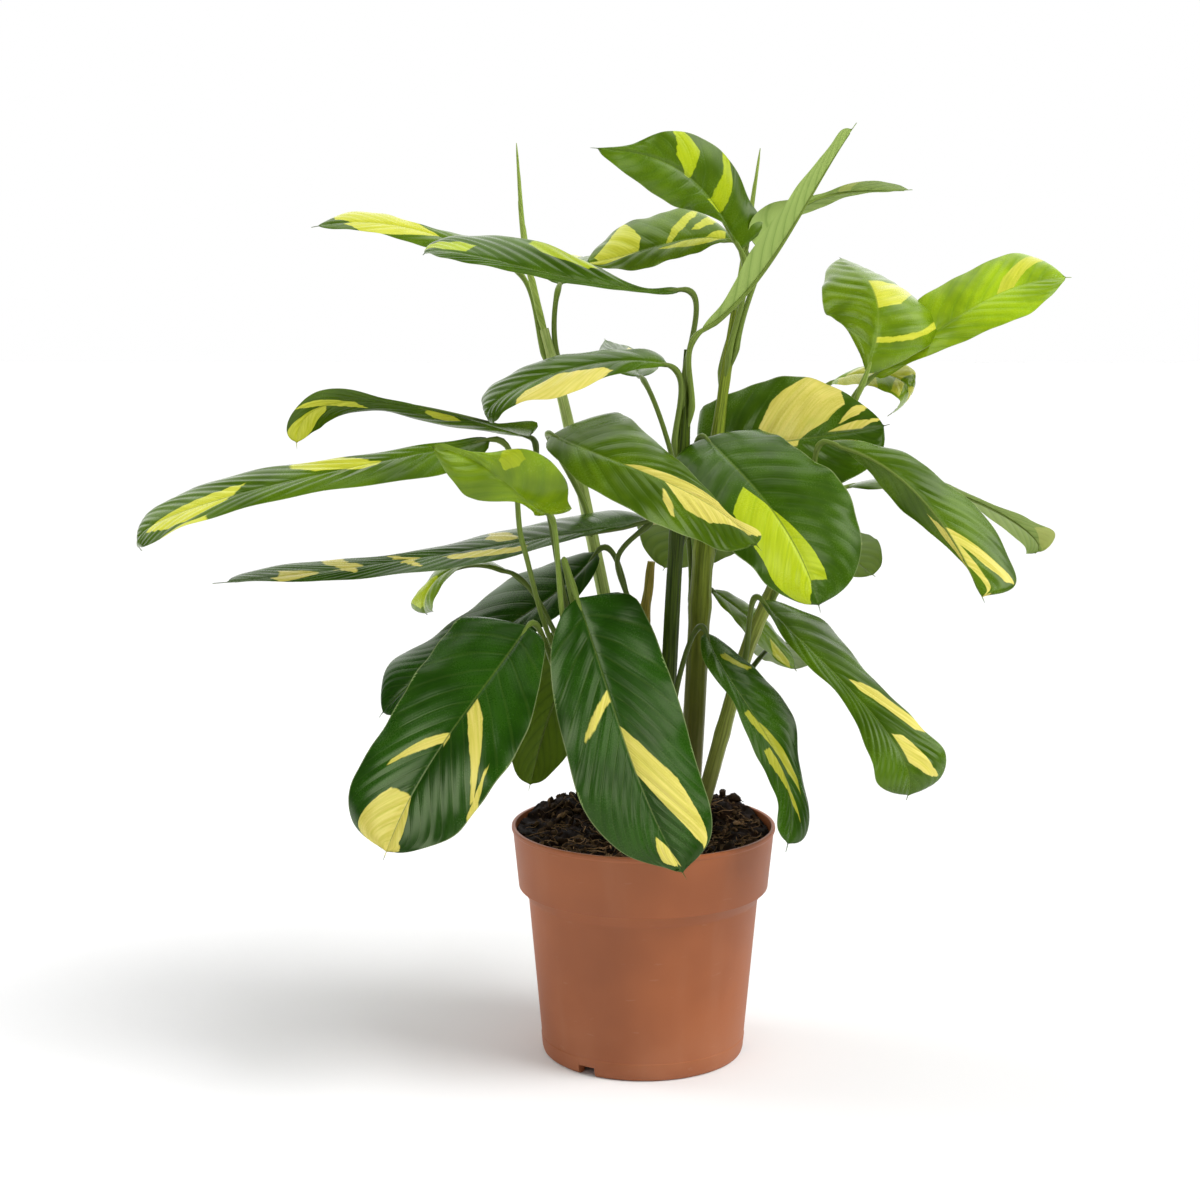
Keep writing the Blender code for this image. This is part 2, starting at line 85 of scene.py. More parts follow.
# Soil
SOIL_EDGE_HEIGHT = 141.0
SOIL_HEAP = 12.0
SOCKET_FLOOR = 118.0
CLUMPS = ((52, 34, 7, 16), (-46, 42, 6, 13), (20, 60, 4, 16))  # x, y, rise and width
LUMPS = ((13, 5.0), (5.5, 3.4), (2.4, 1.8), (1.1, 1.0))  # size across and height

# Leaves
PETIOLE_RADIUS = 1.7
PULVINUS_RADIUS = 1.4
PETIOLE_SIDES = 10
RIB_RADIUS = 1.4  # of the rib under a blade, where it starts
RIB_END_RADIUS = 0.18
BASE_ROUNDNESS = 0.62
DRIP_HALF_WIDTH = 1.5
GROOVE_DEPTH = 0.5
GROOVE_WIDTH = 1.2
ACROSS_STATIONS = 41
CROWDING = 1.15  # power that draws those stations in towards the midrib
ROWS_IN_A_PLEAT = 9
CURL = 30.0  # degrees of its upward slope that a half loses by the margin
SHEATH = 14.0  # length along the stem over which a petiole comes out of it

# Box of the bake map: low x and y, high x and y.
WHOLE_MAP = (0.01, 0.01, 0.99, 0.99)

# Each stem: points up its middle, the radius at each point, and the finish it wears.
STEMS = {
    "cane_middle": (
        [(10, -9, SOCKET_FLOOR), (12, -10, 168), (18, -10, 298), (24, -10, 399), (26, -9, 455)],
        [5.4, 5.2, 4.8, 4.2, 1.6], "dark cane"),
    "cane_broad": (
        [(27, 20, SOCKET_FLOOR), (30, 20, 160), (33, 20, 214), (39, 22, 328), (50, 26, 421), (58, 29, 478)],
        [7.4, 7.4, 7.2, 6.6, 3.4, 2.6], "olive cane"),
    "cane_right": (
        [(25, -2, SOCKET_FLOOR), (40, 0, 169), (64, 6, 256), (83, 14, 301), (106, 30, 352), (122, 40, 398)],
        [5.2, 5.0, 4.6, 4.2, 3.2, 1.6], "brown cane"),
    "cane_left": (
        [(12, 30, SOCKET_FLOOR), (2, 31, 158), (-30, 35, 317), (-49, 38, 408), (-64, 40, 466)],
        [4.8, 4.6, 4.2, 3.6, 2.8], "pale cane"),
    "leafy_shoot": (
        [(-5, -10, SOCKET_FLOOR), (-17, -15, 161), (-34, -25, 223), (-47, -33, 262)],
        [7.0, 6.6, 5.4, 3.0], "shoot"),
    "cut_stem": (
        [(-8, 9, SOCKET_FLOOR), (-5, 10, 163), (-1, 12, 262), (5, 12, 319)],
        [4.6, 4.4, 4.0, 2.4], "dried stem"),
}

# Each rolled new leaf stands on the end of a stem.
NEW_LEAVES = {
    "new_leaf_left": ("cane_left", [(-76, 40, 520), (-81, 40, 583)]),
    "new_leaf_right": ("cane_broad", [(65, 34, 520), (74, 45, 580)]),
}

# Shape of a leaf, as far as its own entry below does not say otherwise.
LEAF_DEFAULTS = {
    "via": [],  # points that the petiole passes through
    "arch": (10, 10),  # rise of the midrib at a third and at two thirds of the blade
    "sway": (0, 0),  # the same, towards the right margin
    "hook": 0.0,  # how far the midrib swings out before it turns back down to the tip
    "width": 64,  # greatest width, which also sets the scale of the relief
    "widest": 0.5,  # where along the blade it is widest
    "taper": 0.55,  # power of the outline towards the tip: smaller is rounder
    "outline": None,  # or seven half-widths each for the right and the left half, in place of those three
    "fold": (12, 12),  # upward slope of the right and the left half, in degrees
    "twist": (0, 0),  # turn of the blade at its base and its tip
    "sweep": 1.4,  # how strongly the side veins bend towards the tip
    "ribbing": 1.0,  # depth of its pleats as a part of the usual depth
    "youth": 0.0,  # how far its green is from the deepest to the youngest
    "under": "grey",  # colour of its lower side: grey, pale (with painted light shining through it) or olive
    "cream": "cream",  # colour of its patches: cream, yellow, lime, or the darker cream that paints the shade on the low hanging leaves
    "petiole": 0.4,  # brightness of the petiole, from 0 to 1
    "patches": [],
}


def grown(stem, joins, side, base, tip, faces, **shape):
    """A leaf: its stem, the height where it joins and the turn from +X of the side that it leaves by, the
    two ends of its blade, and the way its upper face looks (turn from +X, rise). A patch is two or more
    places across the blade, in thousandths from the midrib to the right margin, each with the side veins
    between which the patch lies there, in thousandths from the base to the tip."""
    return {**LEAF_DEFAULTS, **shape, "stem": stem, "joins": joins, "side": side, "base": base, "tip": tip,
            "faces": faces}


LEAVES = dict(
    upper_left=grown("cane_middle", 432, -110, (22, -18, 492), (-134, -52, 513), (-90, 68),
        arch=(-12.2, 13.6), sway=(0.5, 2.8), hook=0.3, width=44, twist=(-42.4, 14.5), sweep=1.2, ribbing=1.5,
        youth=0.13, cream="lime", petiole=0.35,
        outline=[(2.2, 1.8, 16.8, 31.7, 33, 24, 11), (2.8, 2.8, 4.6, 6, 11, 11, 6)],
        patches=[(78, 692, 804, 383, 562, 883, 700, 779, 842, 1000, 754, 779),
        (562, 212, 317, 783, 158, 300, 1000, 146, 246)]),
    upper_left_golden=grown("cane_left", 452, 150, (-86, 46, 506), (-209, 15, 530), (-90, 72),
        arch=(11.3, 20.1), sway=(-0.1, 0), width=31, twist=(-21.5, -5.7), sweep=1, youth=0.25,
        cream="yellow", petiole=0.6,
        outline=[(10.9, 18.1, 11.5, 7.5, 16, 15.3, 5.4), (3.2, 6.3, 12, 16.2, 14.7, 9.7, 5.4)],
        patches=[(-1000, 433, 533, -333, 379, 792, 333, 367, 833, 1000, 283, 688)]),
    upper_back=grown("cane_left", 446, 45, (-54, 56, 494), (-30, 165, 505), (-90, 85), arch=(16, 14),
        width=56, youth=0.2, cream="yellow", petiole=0.5, patches=[(-800, 400, 520, -50, 460, 600)]),
    top_middle=grown("cane_broad", 440, 125, (57, 45, 522), (-39, 32, 508), (-90, 52), arch=(15.9, -3.6),
        sway=(0.3, 0.5), width=50, sweep=1, youth=0.3, cream="yellow", petiole=0.6,
        outline=[(17, 28.8, 33.6, 32.9, 32, 21.2, 7.9), (1.7, 7.5, 14.3, 17, 16.4, 10.8, 3.9)],
        patches=[(-1000, 808, 808, -333, 742, 921, 317, 521, 875, 972, 417, 454),
        (0, 408, 446, 350, 242, 317, 683, 133, 183, 1000, 83, 96),
        (228, 183, 233, 483, 79, 142, 750, 42, 79, 1000, 29, 54),
        (-622, 104, 192, -283, 62, 450, 33, 50, 167, 405, 25, 25)]),
    top=grown("cane_broad", 450, -90, (60, 14, 516), (-34, -30, 577), (-75, 12), arch=(-5.1, 27.4),
        sway=(28.6, 17.8), width=49, fold=(7.9, 18.7), sweep=0.6, ribbing=0.5, youth=0.2, cream="lime",
        petiole=0.6, outline=[(23.6, 26.6, 30.6, 27.4, 19, 5.2, 1.4), (1, 2.4, 12.4, 22, 21, 14.9, 6.7)],
        patches=[(-38, 467, 496, 317, 425, 546, 650, 379, 500, 1000, 412, 463),
        (-188, 200, 292, 217, 192, 287, 600, 188, 254, 1000, 208, 242)]),
    top_furled=grown("cane_middle", 420, -40, (34, -28, 467), (129, -10, 593), (145, 35), arch=(-15.6, -1.5),
        sway=(-6.9, 3.7), width=34, fold=(50, 50), sweep=0.8, youth=0.5, under="pale", cream="yellow",
        petiole=0.6,
        outline=[(3.2, 6.6, 12.9, 14.5, 11.5, 6.5, 6.2), (0.9, 2.3, 14.9, 19.5, 11.8, 2.5, 1.9)]),
    top_right=grown("cane_broad", 456, -30, (76, 28, 512), (177, 85, 555), (90, 75), arch=(37.3, 14.6),
        sway=(-0.2, 0.2), width=25, twist=(-71.5, 10.4), sweep=0.8, youth=0.5, under="pale", cream="yellow",
        petiole=0.6, outline=[(21.7, 21.4, 8.3, 2.8, 13.5, 13.6, 6.8), (0.8, 3.3, 7.1, 10.3, 6.4, 2.9, 3)],
        patches=[(100, 550, 620, 950, 380, 460)]),
    young_upright=grown("cane_right", 372, -60, (142, 26, 438), (132, 106, 511), (-96, 46),
        arch=(34.2, 23.9), sway=(25.2, 7.3), width=86, fold=(-22, 0), sweep=1.2, youth=0.45, cream="yellow",
        petiole=0.8,
        outline=[(12, 32.1, 51.2, 51.7, 47.1, 38.4, 26.2), (4.4, 15.4, 27.4, 33.8, 29.5, 19.5, 11.6)],
        patches=[(545, 871, 883, 783, 825, 833, 1000, 775, 783),
        (0, 342, 575, 350, 329, 521, 667, 388, 504, 1000, 433, 642),
        (0, 138, 167, 350, 133, 158, 667, 138, 171, 1000, 188, 225)]),
    young_right=grown("cane_right", 366, 20, (152, 72, 434), (285, 94, 498), (-96, 42), arch=(27.6, 33.8),
        sway=(7.4, -3.1), width=52, sweep=1.2, ribbing=0.5, youth=1, cream="yellow", petiole=0.8,
        outline=[(6.1, 8.8, 15, 21.4, 24.3, 16.1, 6), (5.3, 16.7, 28.2, 28.9, 27.8, 28.6, 21.4)],
        patches=[(-1000, 683, 725, -667, 642, 771, -350, 600, 729, 0, 625, 708)]),
    right_small=grown("cane_right", 340, 120, (129, 118, 427), (166, 106, 405), (-80, 60), arch=(30, 52),
        hook=0.9, width=38, sweep=1, youth=0.8, cream="yellow", petiole=0.8,
        patches=[(-1000, 120, 420, 0, 120, 560), (0, 80, 340, 1000, 50, 260),
        (-800, 600, 800, 100, 700, 900), (100, 500, 600, 900, 360, 460)]),
    back_cream=grown("cane_broad", 330, 80, (37, 46, 375), (156, 12, 407), (-95, 30), arch=(23.5, 13.7),
        sway=(-3.5, 8), width=87, sweep=1.2, youth=0.12, petiole=0.3,
        outline=[(14, 26.5, 35.7, 39.8, 38, 28.2, 16.7), (39.3, 42.6, 45.8, 47.1, 42.7, 28, 12.1)],
        patches=[(-1000, 354, 517, -633, 296, 633, -250, 312, 642, 122, 487, 517),
        (-1000, 654, 675, -733, 671, 725, -467, 692, 758, -195, 713, 721),
        (-1000, 762, 771, -683, 821, 842, -383, 838, 887, -62, 688, 858)]),
    right_arching=grown("cane_right", 300, -70, (114, -14, 398), (206, -62, 304), (-66, 38),
        via=[(104, -4, 350)], arch=(39.8, -5.3), sway=(-2.1, -28.9), width=47, fold=(-55, 8), sweep=1.6,
        ribbing=1.3, youth=0.2, petiole=0.5,
        outline=[(0.8, 6.4, 13.5, 15.6, 9.5, 0.8, 0.8), (8.5, 13.7, 22.3, 24, 37.4, 37.1, 29.8)],
        patches=[(-1000, 729, 829, -333, 912, 963, 333, 446, 683, 1000, 738, 833),
        (-938, 650, 658, -633, 662, 746, -317, 654, 754, 0, 637, 708)]),
    right_slender=grown("cane_right", 320, 40, (133, 50, 363), (265, 88, 314), (80, 68), arch=(39.6, 18.4),
        sway=(2.4, -3), hook=0.5, width=36, fold=(22, 22), twist=(28.5, -12.2), sweep=1, youth=0.25,
        under="pale", cream="yellow", petiole=0.5,
        outline=[(30.1, 32.7, 18.7, 3.7, 11.5, 18.4, 6.5), (0.8, 0.8, 1.5, 19.5, 25, 17.7, 13)],
        patches=[(62, 829, 883, 383, 650, 892, 683, 583, 854, 1000, 521, 746)]),
    right_tucked=grown("cane_right", 280, 80, (107, 52, 322), (163, 128, 292), (100, 45), arch=(12, 14),
        width=54, youth=0.15, under="olive", cream="yellow", patches=[(100, 700, 740, 600, 380, 420)]),
    centre_broad=grown("cane_middle", 345, 0, (38, -8, 400), (105, -75, 300), (-75, 35), arch=(24.8, 26.4),
        sway=(6, -6.3), width=95, sweep=1.2, ribbing=0.75, youth=0.08, cream="lime", petiole=0.3,
        outline=[(21.5, 36.3, 43.5, 42.9, 35, 27.8, 13.4), (34.2, 41.7, 46.6, 52.5, 51.4, 42.6, 23.7)],
        patches=[(-288, 829, 833, 150, 333, 887, 567, 329, 863, 1000, 771, 775)]),
    centre_front=grown("cane_left", 345, -90, (-58, -8, 402), (67, -100, 341), (-110, 50), arch=(20.9, 3.3),
        sway=(12, -22.3), width=62, fold=(12, 2), sweep=1.6, ribbing=0.9, youth=0.23, petiole=0.5,
        outline=[(10, 15.5, 25, 28.4, 27.9, 23.5, 16.1), (38.6, 43.9, 36.8, 24.3, 10.5, 3.1, 7.8)],
        patches=[(-1000, 408, 479, -683, 458, 571, -350, 463, 675, 0, 362, 579),
        (-1000, 471, 667, -517, 604, 829, -33, 537, 917, 455, 525, 637),
        (212, 483, 492, 467, 429, 467, 722, 404, 417)]),
    middle_left=grown("cane_middle", 398, -150, (14, -24, 446), (-94, -44, 412), (-90, 74),
        arch=(27.6, 21.7), sway=(0.6, -1.3), hook=0.45, width=48, twist=(-16.7, 1.8), sweep=1.2, ribbing=1.4,
        youth=0.16,
        outline=[(12.8, 14.5, 17.2, 20.4, 24.2, 22.8, 13.8), (3.2, 8.7, 18.5, 27.5, 18.3, 14.9, 9.7)],
        patches=[(-1000, 150, 400, -733, 150, 450, -450, 208, 479, -178, 388, 412)]),
    middle_back=grown("cane_broad", 292, 130, (-1, 62, 434), (-25, 160, 455), (-90, 74), arch=(2, 0),
        width=42, widest=0.4, taper=1.2, youth=0.15, patches=[(50, 500, 560, 800, 420, 460)]),
    left_high=grown("leafy_shoot", 232, -20, (-72, -26, 402), (-212, -50, 396), (-90, 78),
        via=[(-50, -46, 306), (-58, -46, 350), (-66, -38, 386)], arch=(17.8, 55.2), sway=(-6.2, -0.7),
        hook=0.35, width=31, twist=(-147.9, -100.4), sweep=1.1, youth=0.2, cream="yellow", petiole=0.15,
        outline=[(25.8, 6.1, 2.7, 5, 11.5, 9.3, 6.7), (4.9, 11.5, 14.1, 8.8, 11.1, 13.3, 7.8)],
        patches=[(-538, 417, 425, 0, 600, 721, 483, 592, 675, 1000, 571, 575),
        (-1000, 762, 892, -333, 654, 975, 333, 775, 975, 1000, 725, 896),
        (-372, 233, 267, -150, 225, 333, 83, 300, 367, 305, 329, 329)]),
    left_long=grown("leafy_shoot", 238, 170, (-95, -45, 402), (-304, -70, 337), (-90, 72),
        via=[(-64, -38, 292), (-76, -44, 340)], arch=(9.2, 31.5), sway=(0.3, 2.3), hook=0.4, width=54,
        twist=(-16.4, 6.6), sweep=0.8, ribbing=1.5, youth=0.2, cream="yellow", petiole=0.45,
        outline=[(5.6, 7.1, 13.3, 23.5, 32.6, 28, 11), (13.1, 22.6, 21.9, 16.4, 20.9, 23, 7)],
        patches=[(-222, 237, 283, 183, 254, 354, 600, 221, 325, 1000, 196, 263),
        (-738, 525, 583, -367, 512, 758, 0, 554, 800, 355, 458, 458), (-1000, 417, 558, -778, 463, 471)]),
    young_left=grown("leafy_shoot", 222, -95, (-59, -68, 359), (-130, -90, 402), (-50, 30),
        via=[(-50, -58, 290)], arch=(31.9, 31.9), sway=(-30.1, -5.8), width=43, fold=(58.5, -19.4),
        twist=(-40, 0), ribbing=0.6, youth=0.7, cream="lime", petiole=0.6,
        outline=[(15.8, 19.4, 28.7, 26.4, 8.5, 2.7, 2.1), (6.5, 3.8, 5.1, 16.6, 21.2, 15.5, 6.4)],
        patches=[(262, 458, 467, 517, 350, 438, 750, 292, 375, 1000, 283, 317)]),
    left_slender=grown("cut_stem", 270, -130, (2, -6, 347), (-268, -36, 312), (-90, 88),
        via=[(-17, -2, 322)], arch=(-1.3, -4.8), sway=(-0.8, 0), width=41, twist=(-16, -12.9), sweep=0.8,
        ribbing=1.4, youth=0.06, petiole=0.2,
        outline=[(22.4, 30.4, 25.4, 16.4, 14.6, 18.9, 14.7), (1.6, 6, 15.3, 20.6, 16.7, 7.9, 2.6)],
        patches=[(-622, 550, 554, -83, 667, 721, 467, 604, 658, 1000, 492, 542),
        (-688, 400, 408, -250, 504, 533, 167, 533, 562, 605, 487, 487),
        (-955, 646, 667, -500, 675, 792, -67, 750, 863, 388, 787, 792),
        (145, 283, 325, 433, 258, 312, 700, 237, 263, 988, 221, 221),
        (-805, 200, 204, -533, 221, 371, -245, 358, 438)]),
    left_drooping=grown("leafy_shoot", 226, 110, (-84, 2, 313), (-139, 14, 284), (-95, 80),
        via=[(-57, -22, 280)], arch=(35.2, 16.6), sway=(0, -2), hook=0.4, width=29, twist=(21.3, -46.7),
        sweep=1, youth=0.4, cream="lime", petiole=0.3,
        outline=[(6.5, 12.3, 16, 15.6, 10.2, 13.7, 16.6), (3.3, 5.3, 6.2, 12.3, 16.3, 15.1, 10.1)],
        patches=[(-250, 580, 840, 200, 500, 880, 1000, 500, 680)]),
    front_left=grown("leafy_shoot", 200, -125, (-72, -58, 289), (-156, -125, 160), (-110, 30),
        via=[(-52, -50, 250)], arch=(17.1, 19.3), sway=(-6.8, 5.4), width=86, sweep=1.5, ribbing=0.4,
        outline=[(39.5, 46.8, 45.9, 42.4, 42, 40.9, 29.8), (14.9, 25.2, 37.5, 43.8, 42.3, 35.4, 17.5)],
        patches=[(-888, 388, 408, -600, 346, 396, -333, 321, 404, -45, 333, 400),
        (-38, 504, 546, 267, 483, 542, 555, 504, 525),
        (-1000, 742, 838, -333, 858, 963, 333, 667, 967, 1000, 729, 846), (-955, 371, 429, -778, 312, 333)]),
    left_tucked=grown("cut_stem", 255, 160, (-30, 20, 324), (-169, -6, 221), (-120, 50), arch=(0.1, 26.1),
        sway=(-23.6, -5.9), hook=0.1, width=60, ribbing=0.6, petiole=0.2,
        outline=[(14.7, 28.4, 41, 32.5, 28.1, 32.1, 17), (7.6, 14.4, 19.4, 21.7, 20.6, 16, 8.7)]),
    front_centre=grown("leafy_shoot", 208, -60, (-42, -62, 307), (24, -115, 145), (-88, 22),
        via=[(-42, -54, 290), (-50, -58, 330)], arch=(11.9, 8), sway=(2.6, 12), width=75, sweep=1.9,
        ribbing=0.65, petiole=0.5,
        outline=[(12.3, 25.3, 32.7, 35.7, 37.5, 27, 8.1), (30.7, 37.6, 39.2, 39.4, 36.9, 33.5, 23.4)],
        patches=[(0, 329, 367, 217, 300, 333, 433, 279, 308, 638, 267, 275),
        (-922, 633, 654, -600, 450, 700, -300, 454, 667, 0, 452, 620),
        (-72, 942, 946, 167, 779, 917, 383, 754, 850, 622, 713, 733)]),
    inner_hanging=grown("cut_stem", 228, 70, (-8, 24, 284), (-74, -2, 172), (110, 15), arch=(0, 0),
        sway=(-32, -16), width=60, taper=0.45, sweep=1.6, ribbing=0.5, youth=0.3, under="olive",
        petiole=0.3),
    low_right=grown("cane_right", 255, -90, (74, -12, 298), (159, -75, 184), (-60, 48), arch=(6.7, 42),
        sway=(-0.2, -2.5), hook=0.25, width=56, twist=(-13.4, 15.5), sweep=1.6, ribbing=1.2, youth=0.15,
        outline=[(3, 8, 12.7, 12.3, 19.8, 23.4, 13.7), (19.8, 36.9, 29.5, 22.1, 24.7, 33.1, 23)],
        patches=[(-1000, 333, 383, -733, 287, 433, -467, 317, 408, -195, 358, 404),
        (-788, 667, 671, -550, 683, 738, -317, 579, 775, -78, 633, 775)]),
    low_hanging=grown("cane_middle", 222, -60, (38, -35, 281), (85, -85, 154), (-50, 20), arch=(11.7, 18.1),
        sway=(11.7, -31.6), width=44, sweep=1.2, youth=0.04, cream="shade_darkened_cream", petiole=0.2,
        outline=[(6.3, 11.2, 8.6, 13.6, 14.7, 10.7, 9.5), (10.2, 19.5, 28.6, 30.4, 16.4, 15.8, 13.2)],
        patches=[(-905, 113, 113, -650, 116, 142, -400, 86, 135, -145, 106, 123),
        (-538, 574, 638, -150, 501, 653, 250, 330, 454, 638, 259, 262),
        (-438, 785, 790, -83, 745, 809, 250, 497, 674, 605, 408, 459)]),
    low_slender=grown("cane_broad", 262, 60, (45, 36, 297), (101, 36, 243), (-90, 72), arch=(6, 6), width=34,
        sweep=1, youth=0.3, cream="shade_darkened_cream", petiole=0.2, patches=[(0, 620, 900, 900, 500, 750)]),
    back_low=grown("cane_broad", 298, 60, (50, 60, 345), (16, 150, 293), (60, 60), arch=(16, 18), width=78,
        youth=0.2, under="olive", petiole=0.3, patches=[(-900, 300, 420, -50, 340, 500)]),
    low_tucked=grown("cane_right", 215, 90, (88, 60, 257), (109, 132, 225), (90, 65), arch=(8, 10), width=46,
        youth=0.1, petiole=0.1),
)


def unit(vectors):
    """Each vector over its own length."""
    return vectors / np.maximum(np.linalg.norm(vectors, axis=-1, keepdims=True), 1e-9)


def dot(a, b):
    """Sum of the products of the coordinates, kept as a last axis of one."""
    return np.sum(a * b, axis=-1, keepdims=True)


def direction(turn, rise=0.0):
    """Unit vector with its turn from +X about Z and its rise above the horizon, in degrees."""
    turn, rise = math.radians(turn), math.radians(rise)
    return np.array((math.cos(turn) * math.cos(rise), math.sin(turn) * math.cos(rise), math.sin(rise)))


def smooth_step(low, high, values):
    """0 below low, 1 above high, and 3x squared less 2x cubed between, where x runs from 0 to 1."""
    x = np.clip((values - low) / (high - low), 0, 1)
    return x * x * (3 - 2 * x)


def smooth_path(points, start, end, steps):
    """Cubic Hermite curve through the points: a slope inside is half the way from the point before to the
    point after, and the two end slopes are the start and end directions times the length of their
    stretch."""
    points = np.asarray(points, float)
    stretches = np.linalg.norm(np.diff(points, axis=0), axis=1)
    slopes = np.empty_like(points)
    slopes[1:-1] = (points[2:] - points[:-2]) / 2
    slopes[0] = unit(np.asarray(start, float)) * stretches[0]
    slopes[-1] = unit(np.asarray(end, float)) * stretches[-1]
    place = np.linspace(0, len(points) - 1, (len(points) - 1) * steps + 1)
    low = np.minimum(place.astype(int), len(points) - 2)
    t = (place - low)[:, None]
    return (
        points[low] * (2 * t**3 - 3 * t**2 + 1)
        + slopes[low] * (t**3 - 2 * t**2 + t)
        + points[low + 1] * (3 * t**2 - 2 * t**3)
        + slopes[low + 1] * (t**3 - t**2)
    )


def noise(points, seed=0):
    """Smooth random field from 0 to 1: each corner of a unit lattice has a random value, and a point
    takes the blend of the eight round it, with smooth-step weights."""
    cell = np.floor(points)
    part = points - cell
    part = part * part * (3 - 2 * part)
    total = np.zeros(points.shape[:-1])
    for corner in product((0, 1), repeat=3):
        corner = np.array(corner)
        lattice = np.sin((cell + corner) @ np.array((127.1, 311.7, 74.7)) + seed * 17.3) * 43758.5453
        weight = np.prod(np.where(corner, part, 1 - part), axis=-1)
        total += weight * (lattice - np.floor(lattice))
    return total


def grid_corners(grid):
    """What a grid holds at the four corners of each of its cells, in order round the cell."""
    four = np.stack([grid[:-1, :-1], grid[:-1, 1:], grid[1:, 1:], grid[1:, :-1]], axis=2)
    return four.reshape(-1, 4, *grid.shape[2:])


class Shell:
    """One closed surface: its points, and for each four-cornered face the points, the place in the bake
    map and the pattern coordinates of its corners. A face with two equal corners becomes a triangle."""

    def __init__(self, points, index, chart, pattern, material=0, flip=False):
        self.points = points
        turn = slice(None, None, -1 if flip else 1)
        corners = [grid_corners(grid)[:, turn] for grid in (index, chart, pattern)]
        self.index, self.chart, self.pattern = corners
        self.material = np.full(len(self.index), material)


def joined(shells):
    """One shell from many, with their points counted on. One without points of its own uses the first
    one's."""
    start = 0
    for shell in shells:
        if len(shell.points):
            shell.index = shell.index + start
        start += len(shell.points)
    for part in ("points", "index", "chart", "pattern", "material"):
        setattr(shells[0], part, np.concatenate([getattr(shell, part) for shell in shells]))
    return shells[0]


def wrapped(rings, pattern, area=WHOLE_MAP, material=0):
    """Closed shell from a grid of rings: the columns meet round the back, and each end runs in to the
    middle of its last ring. Area is the box of the bake map it fills, and pattern its coordinates ring by
    ring."""
    rows, columns, _ = rings.shape
    points = np.concatenate([rings.reshape(-1, 3), rings[:1].mean(axis=1), rings[-1:].mean(axis=1)])
    index = np.arange(rows * columns).reshape(rows, columns)
    index = np.concatenate([index, index[:, :1]], axis=1)
    first = np.full((1, columns + 1), rows * columns)
    index = np.concatenate([first, index, first + 1])
    x, y = np.meshgrid(np.linspace(area[0], area[2], rows + 2), np.linspace(area[1], area[3], columns + 1),
                       indexing="ij")
    pattern = np.concatenate([pattern, pattern[:, :1]], axis=1)
    pattern = np.concatenate([pattern[:1], pattern, pattern[-1:]])
    return Shell(points, index, np.stack([x, y], axis=2), pattern, material)


def turned(radius, height, turns):
    """Rings of a profile turned about Z: (radius cos a, radius sin a, height) for each turn a."""
    return np.stack(np.broadcast_arrays(radius * np.cos(turns), radius * np.sin(turns), height), axis=2)


def run_along(path):
    """Length along a path to each of its points."""
    return np.concatenate([[0], np.cumsum(np.linalg.norm(np.diff(path, axis=0), axis=1))])


def spokes(side, across, count):
    """Unit vectors round each point of a path: side x cos a + across x sin a."""
    angle = TAU * np.arange(count) / count
    return side[..., None, :] * np.cos(angle)[:, None] + across[..., None, :] * np.sin(angle)[:, None]


def sleeve(path, radii, second, third, reference=(1.0, 0, 0), **where):
    """Closed shell round a path: centre + radius x spoke, where the side of the spokes is the reference
    made perpendicular to the path and across is the path's direction x side. Its pattern coordinates are
    the length from its start in centimetres and the two given ones."""
    along = unit(np.gradient(path, axis=0))
    side = unit(reference - along * dot(along, reference))
    across = np.cross(along, side)
    rings = path[:, None] + spokes(side, across, radii.shape[1]) * radii[..., None]
    pattern = np.stack(np.broadcast_arrays(run_along(path)[:, None] / 10, second, third), axis=2)
    return wrapped(rings, pattern, **where)


def add_piece(name, shell, materials, nodes):
    """Put a shell into a mesh in metres, with its bake map and pattern coordinates, on the CAD's root
    body."""
    keep = shell.index != np.roll(shell.index, -1, axis=1)
    sizes = keep.sum(axis=1)
    real = sizes > 2
    keep &= real[:, None]
    mesh = bpy.data.meshes.new(name)
    mesh.vertices.add(len(shell.points))
    mesh.vertices.foreach_set("co", (shell.points * MM).astype(np.float32).ravel())
    mesh.loops.add(int(keep.sum()))
    mesh.loops.foreach_set("vertex_index", shell.index[keep].astype(np.int32))
    mesh.polygons.add(int(real.sum()))
    starts = np.concatenate([[0], np.cumsum(sizes[real])[:-1]])
    mesh.polygons.foreach_set("loop_start", starts.astype(np.int32))
    mesh.polygons.foreach_set("material_index", shell.material[real].astype(np.int32))
    mesh.update(calc_edges=True)
    mesh.uv_layers.new(name="OFBake").data.foreach_set("uv", shell.chart[keep].astype(np.float32).ravel())
    pattern = mesh.attributes.new("pattern", "FLOAT_VECTOR", "CORNER")
    pattern.data.foreach_set("vector", shell.pattern[keep].astype(np.float32).ravel())
    if mesh.validate():
        raise RuntimeError(f"{name}: the mesh had faulty faces")
    mesh.shade_smooth()
    mesh.set_sharp_from_angle(angle=math.radians(55))
    for finish in materials:
        mesh.materials.append(finish)
    obj = bpy.data.objects.new(name, mesh)
    bpy.context.scene.collection.objects.link(obj)
    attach(obj, "root")
    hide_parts(*nodes)
    return obj


def stem_path(name, steps):
    """Smooth path through a stem's points, with its radius changing evenly between them."""
    points, radii, _ = STEMS[name]
    points = np.array(points, float)
    path = smooth_path(points, points[1] - points[0], points[-1] - points[-2], steps)
    return path, np.interp(np.linspace(0, len(radii) - 1, len(path)), np.arange(len(radii)), radii)


def stem_at(name, height):
    """Centre, direction and radius of a stem at a height, between the two path points round it."""
    path, radii = stem_path(name, 12)
    along = unit(np.gradient(path, axis=0))
    centre = np.array([np.interp(height, path[:, 2], path[:, axis]) for axis in range(3)])
    climb = np.array([np.interp(height, path[:, 2], along[:, axis]) for axis in range(3)])
    return centre, climb, np.interp(height, path[:, 2], radii)


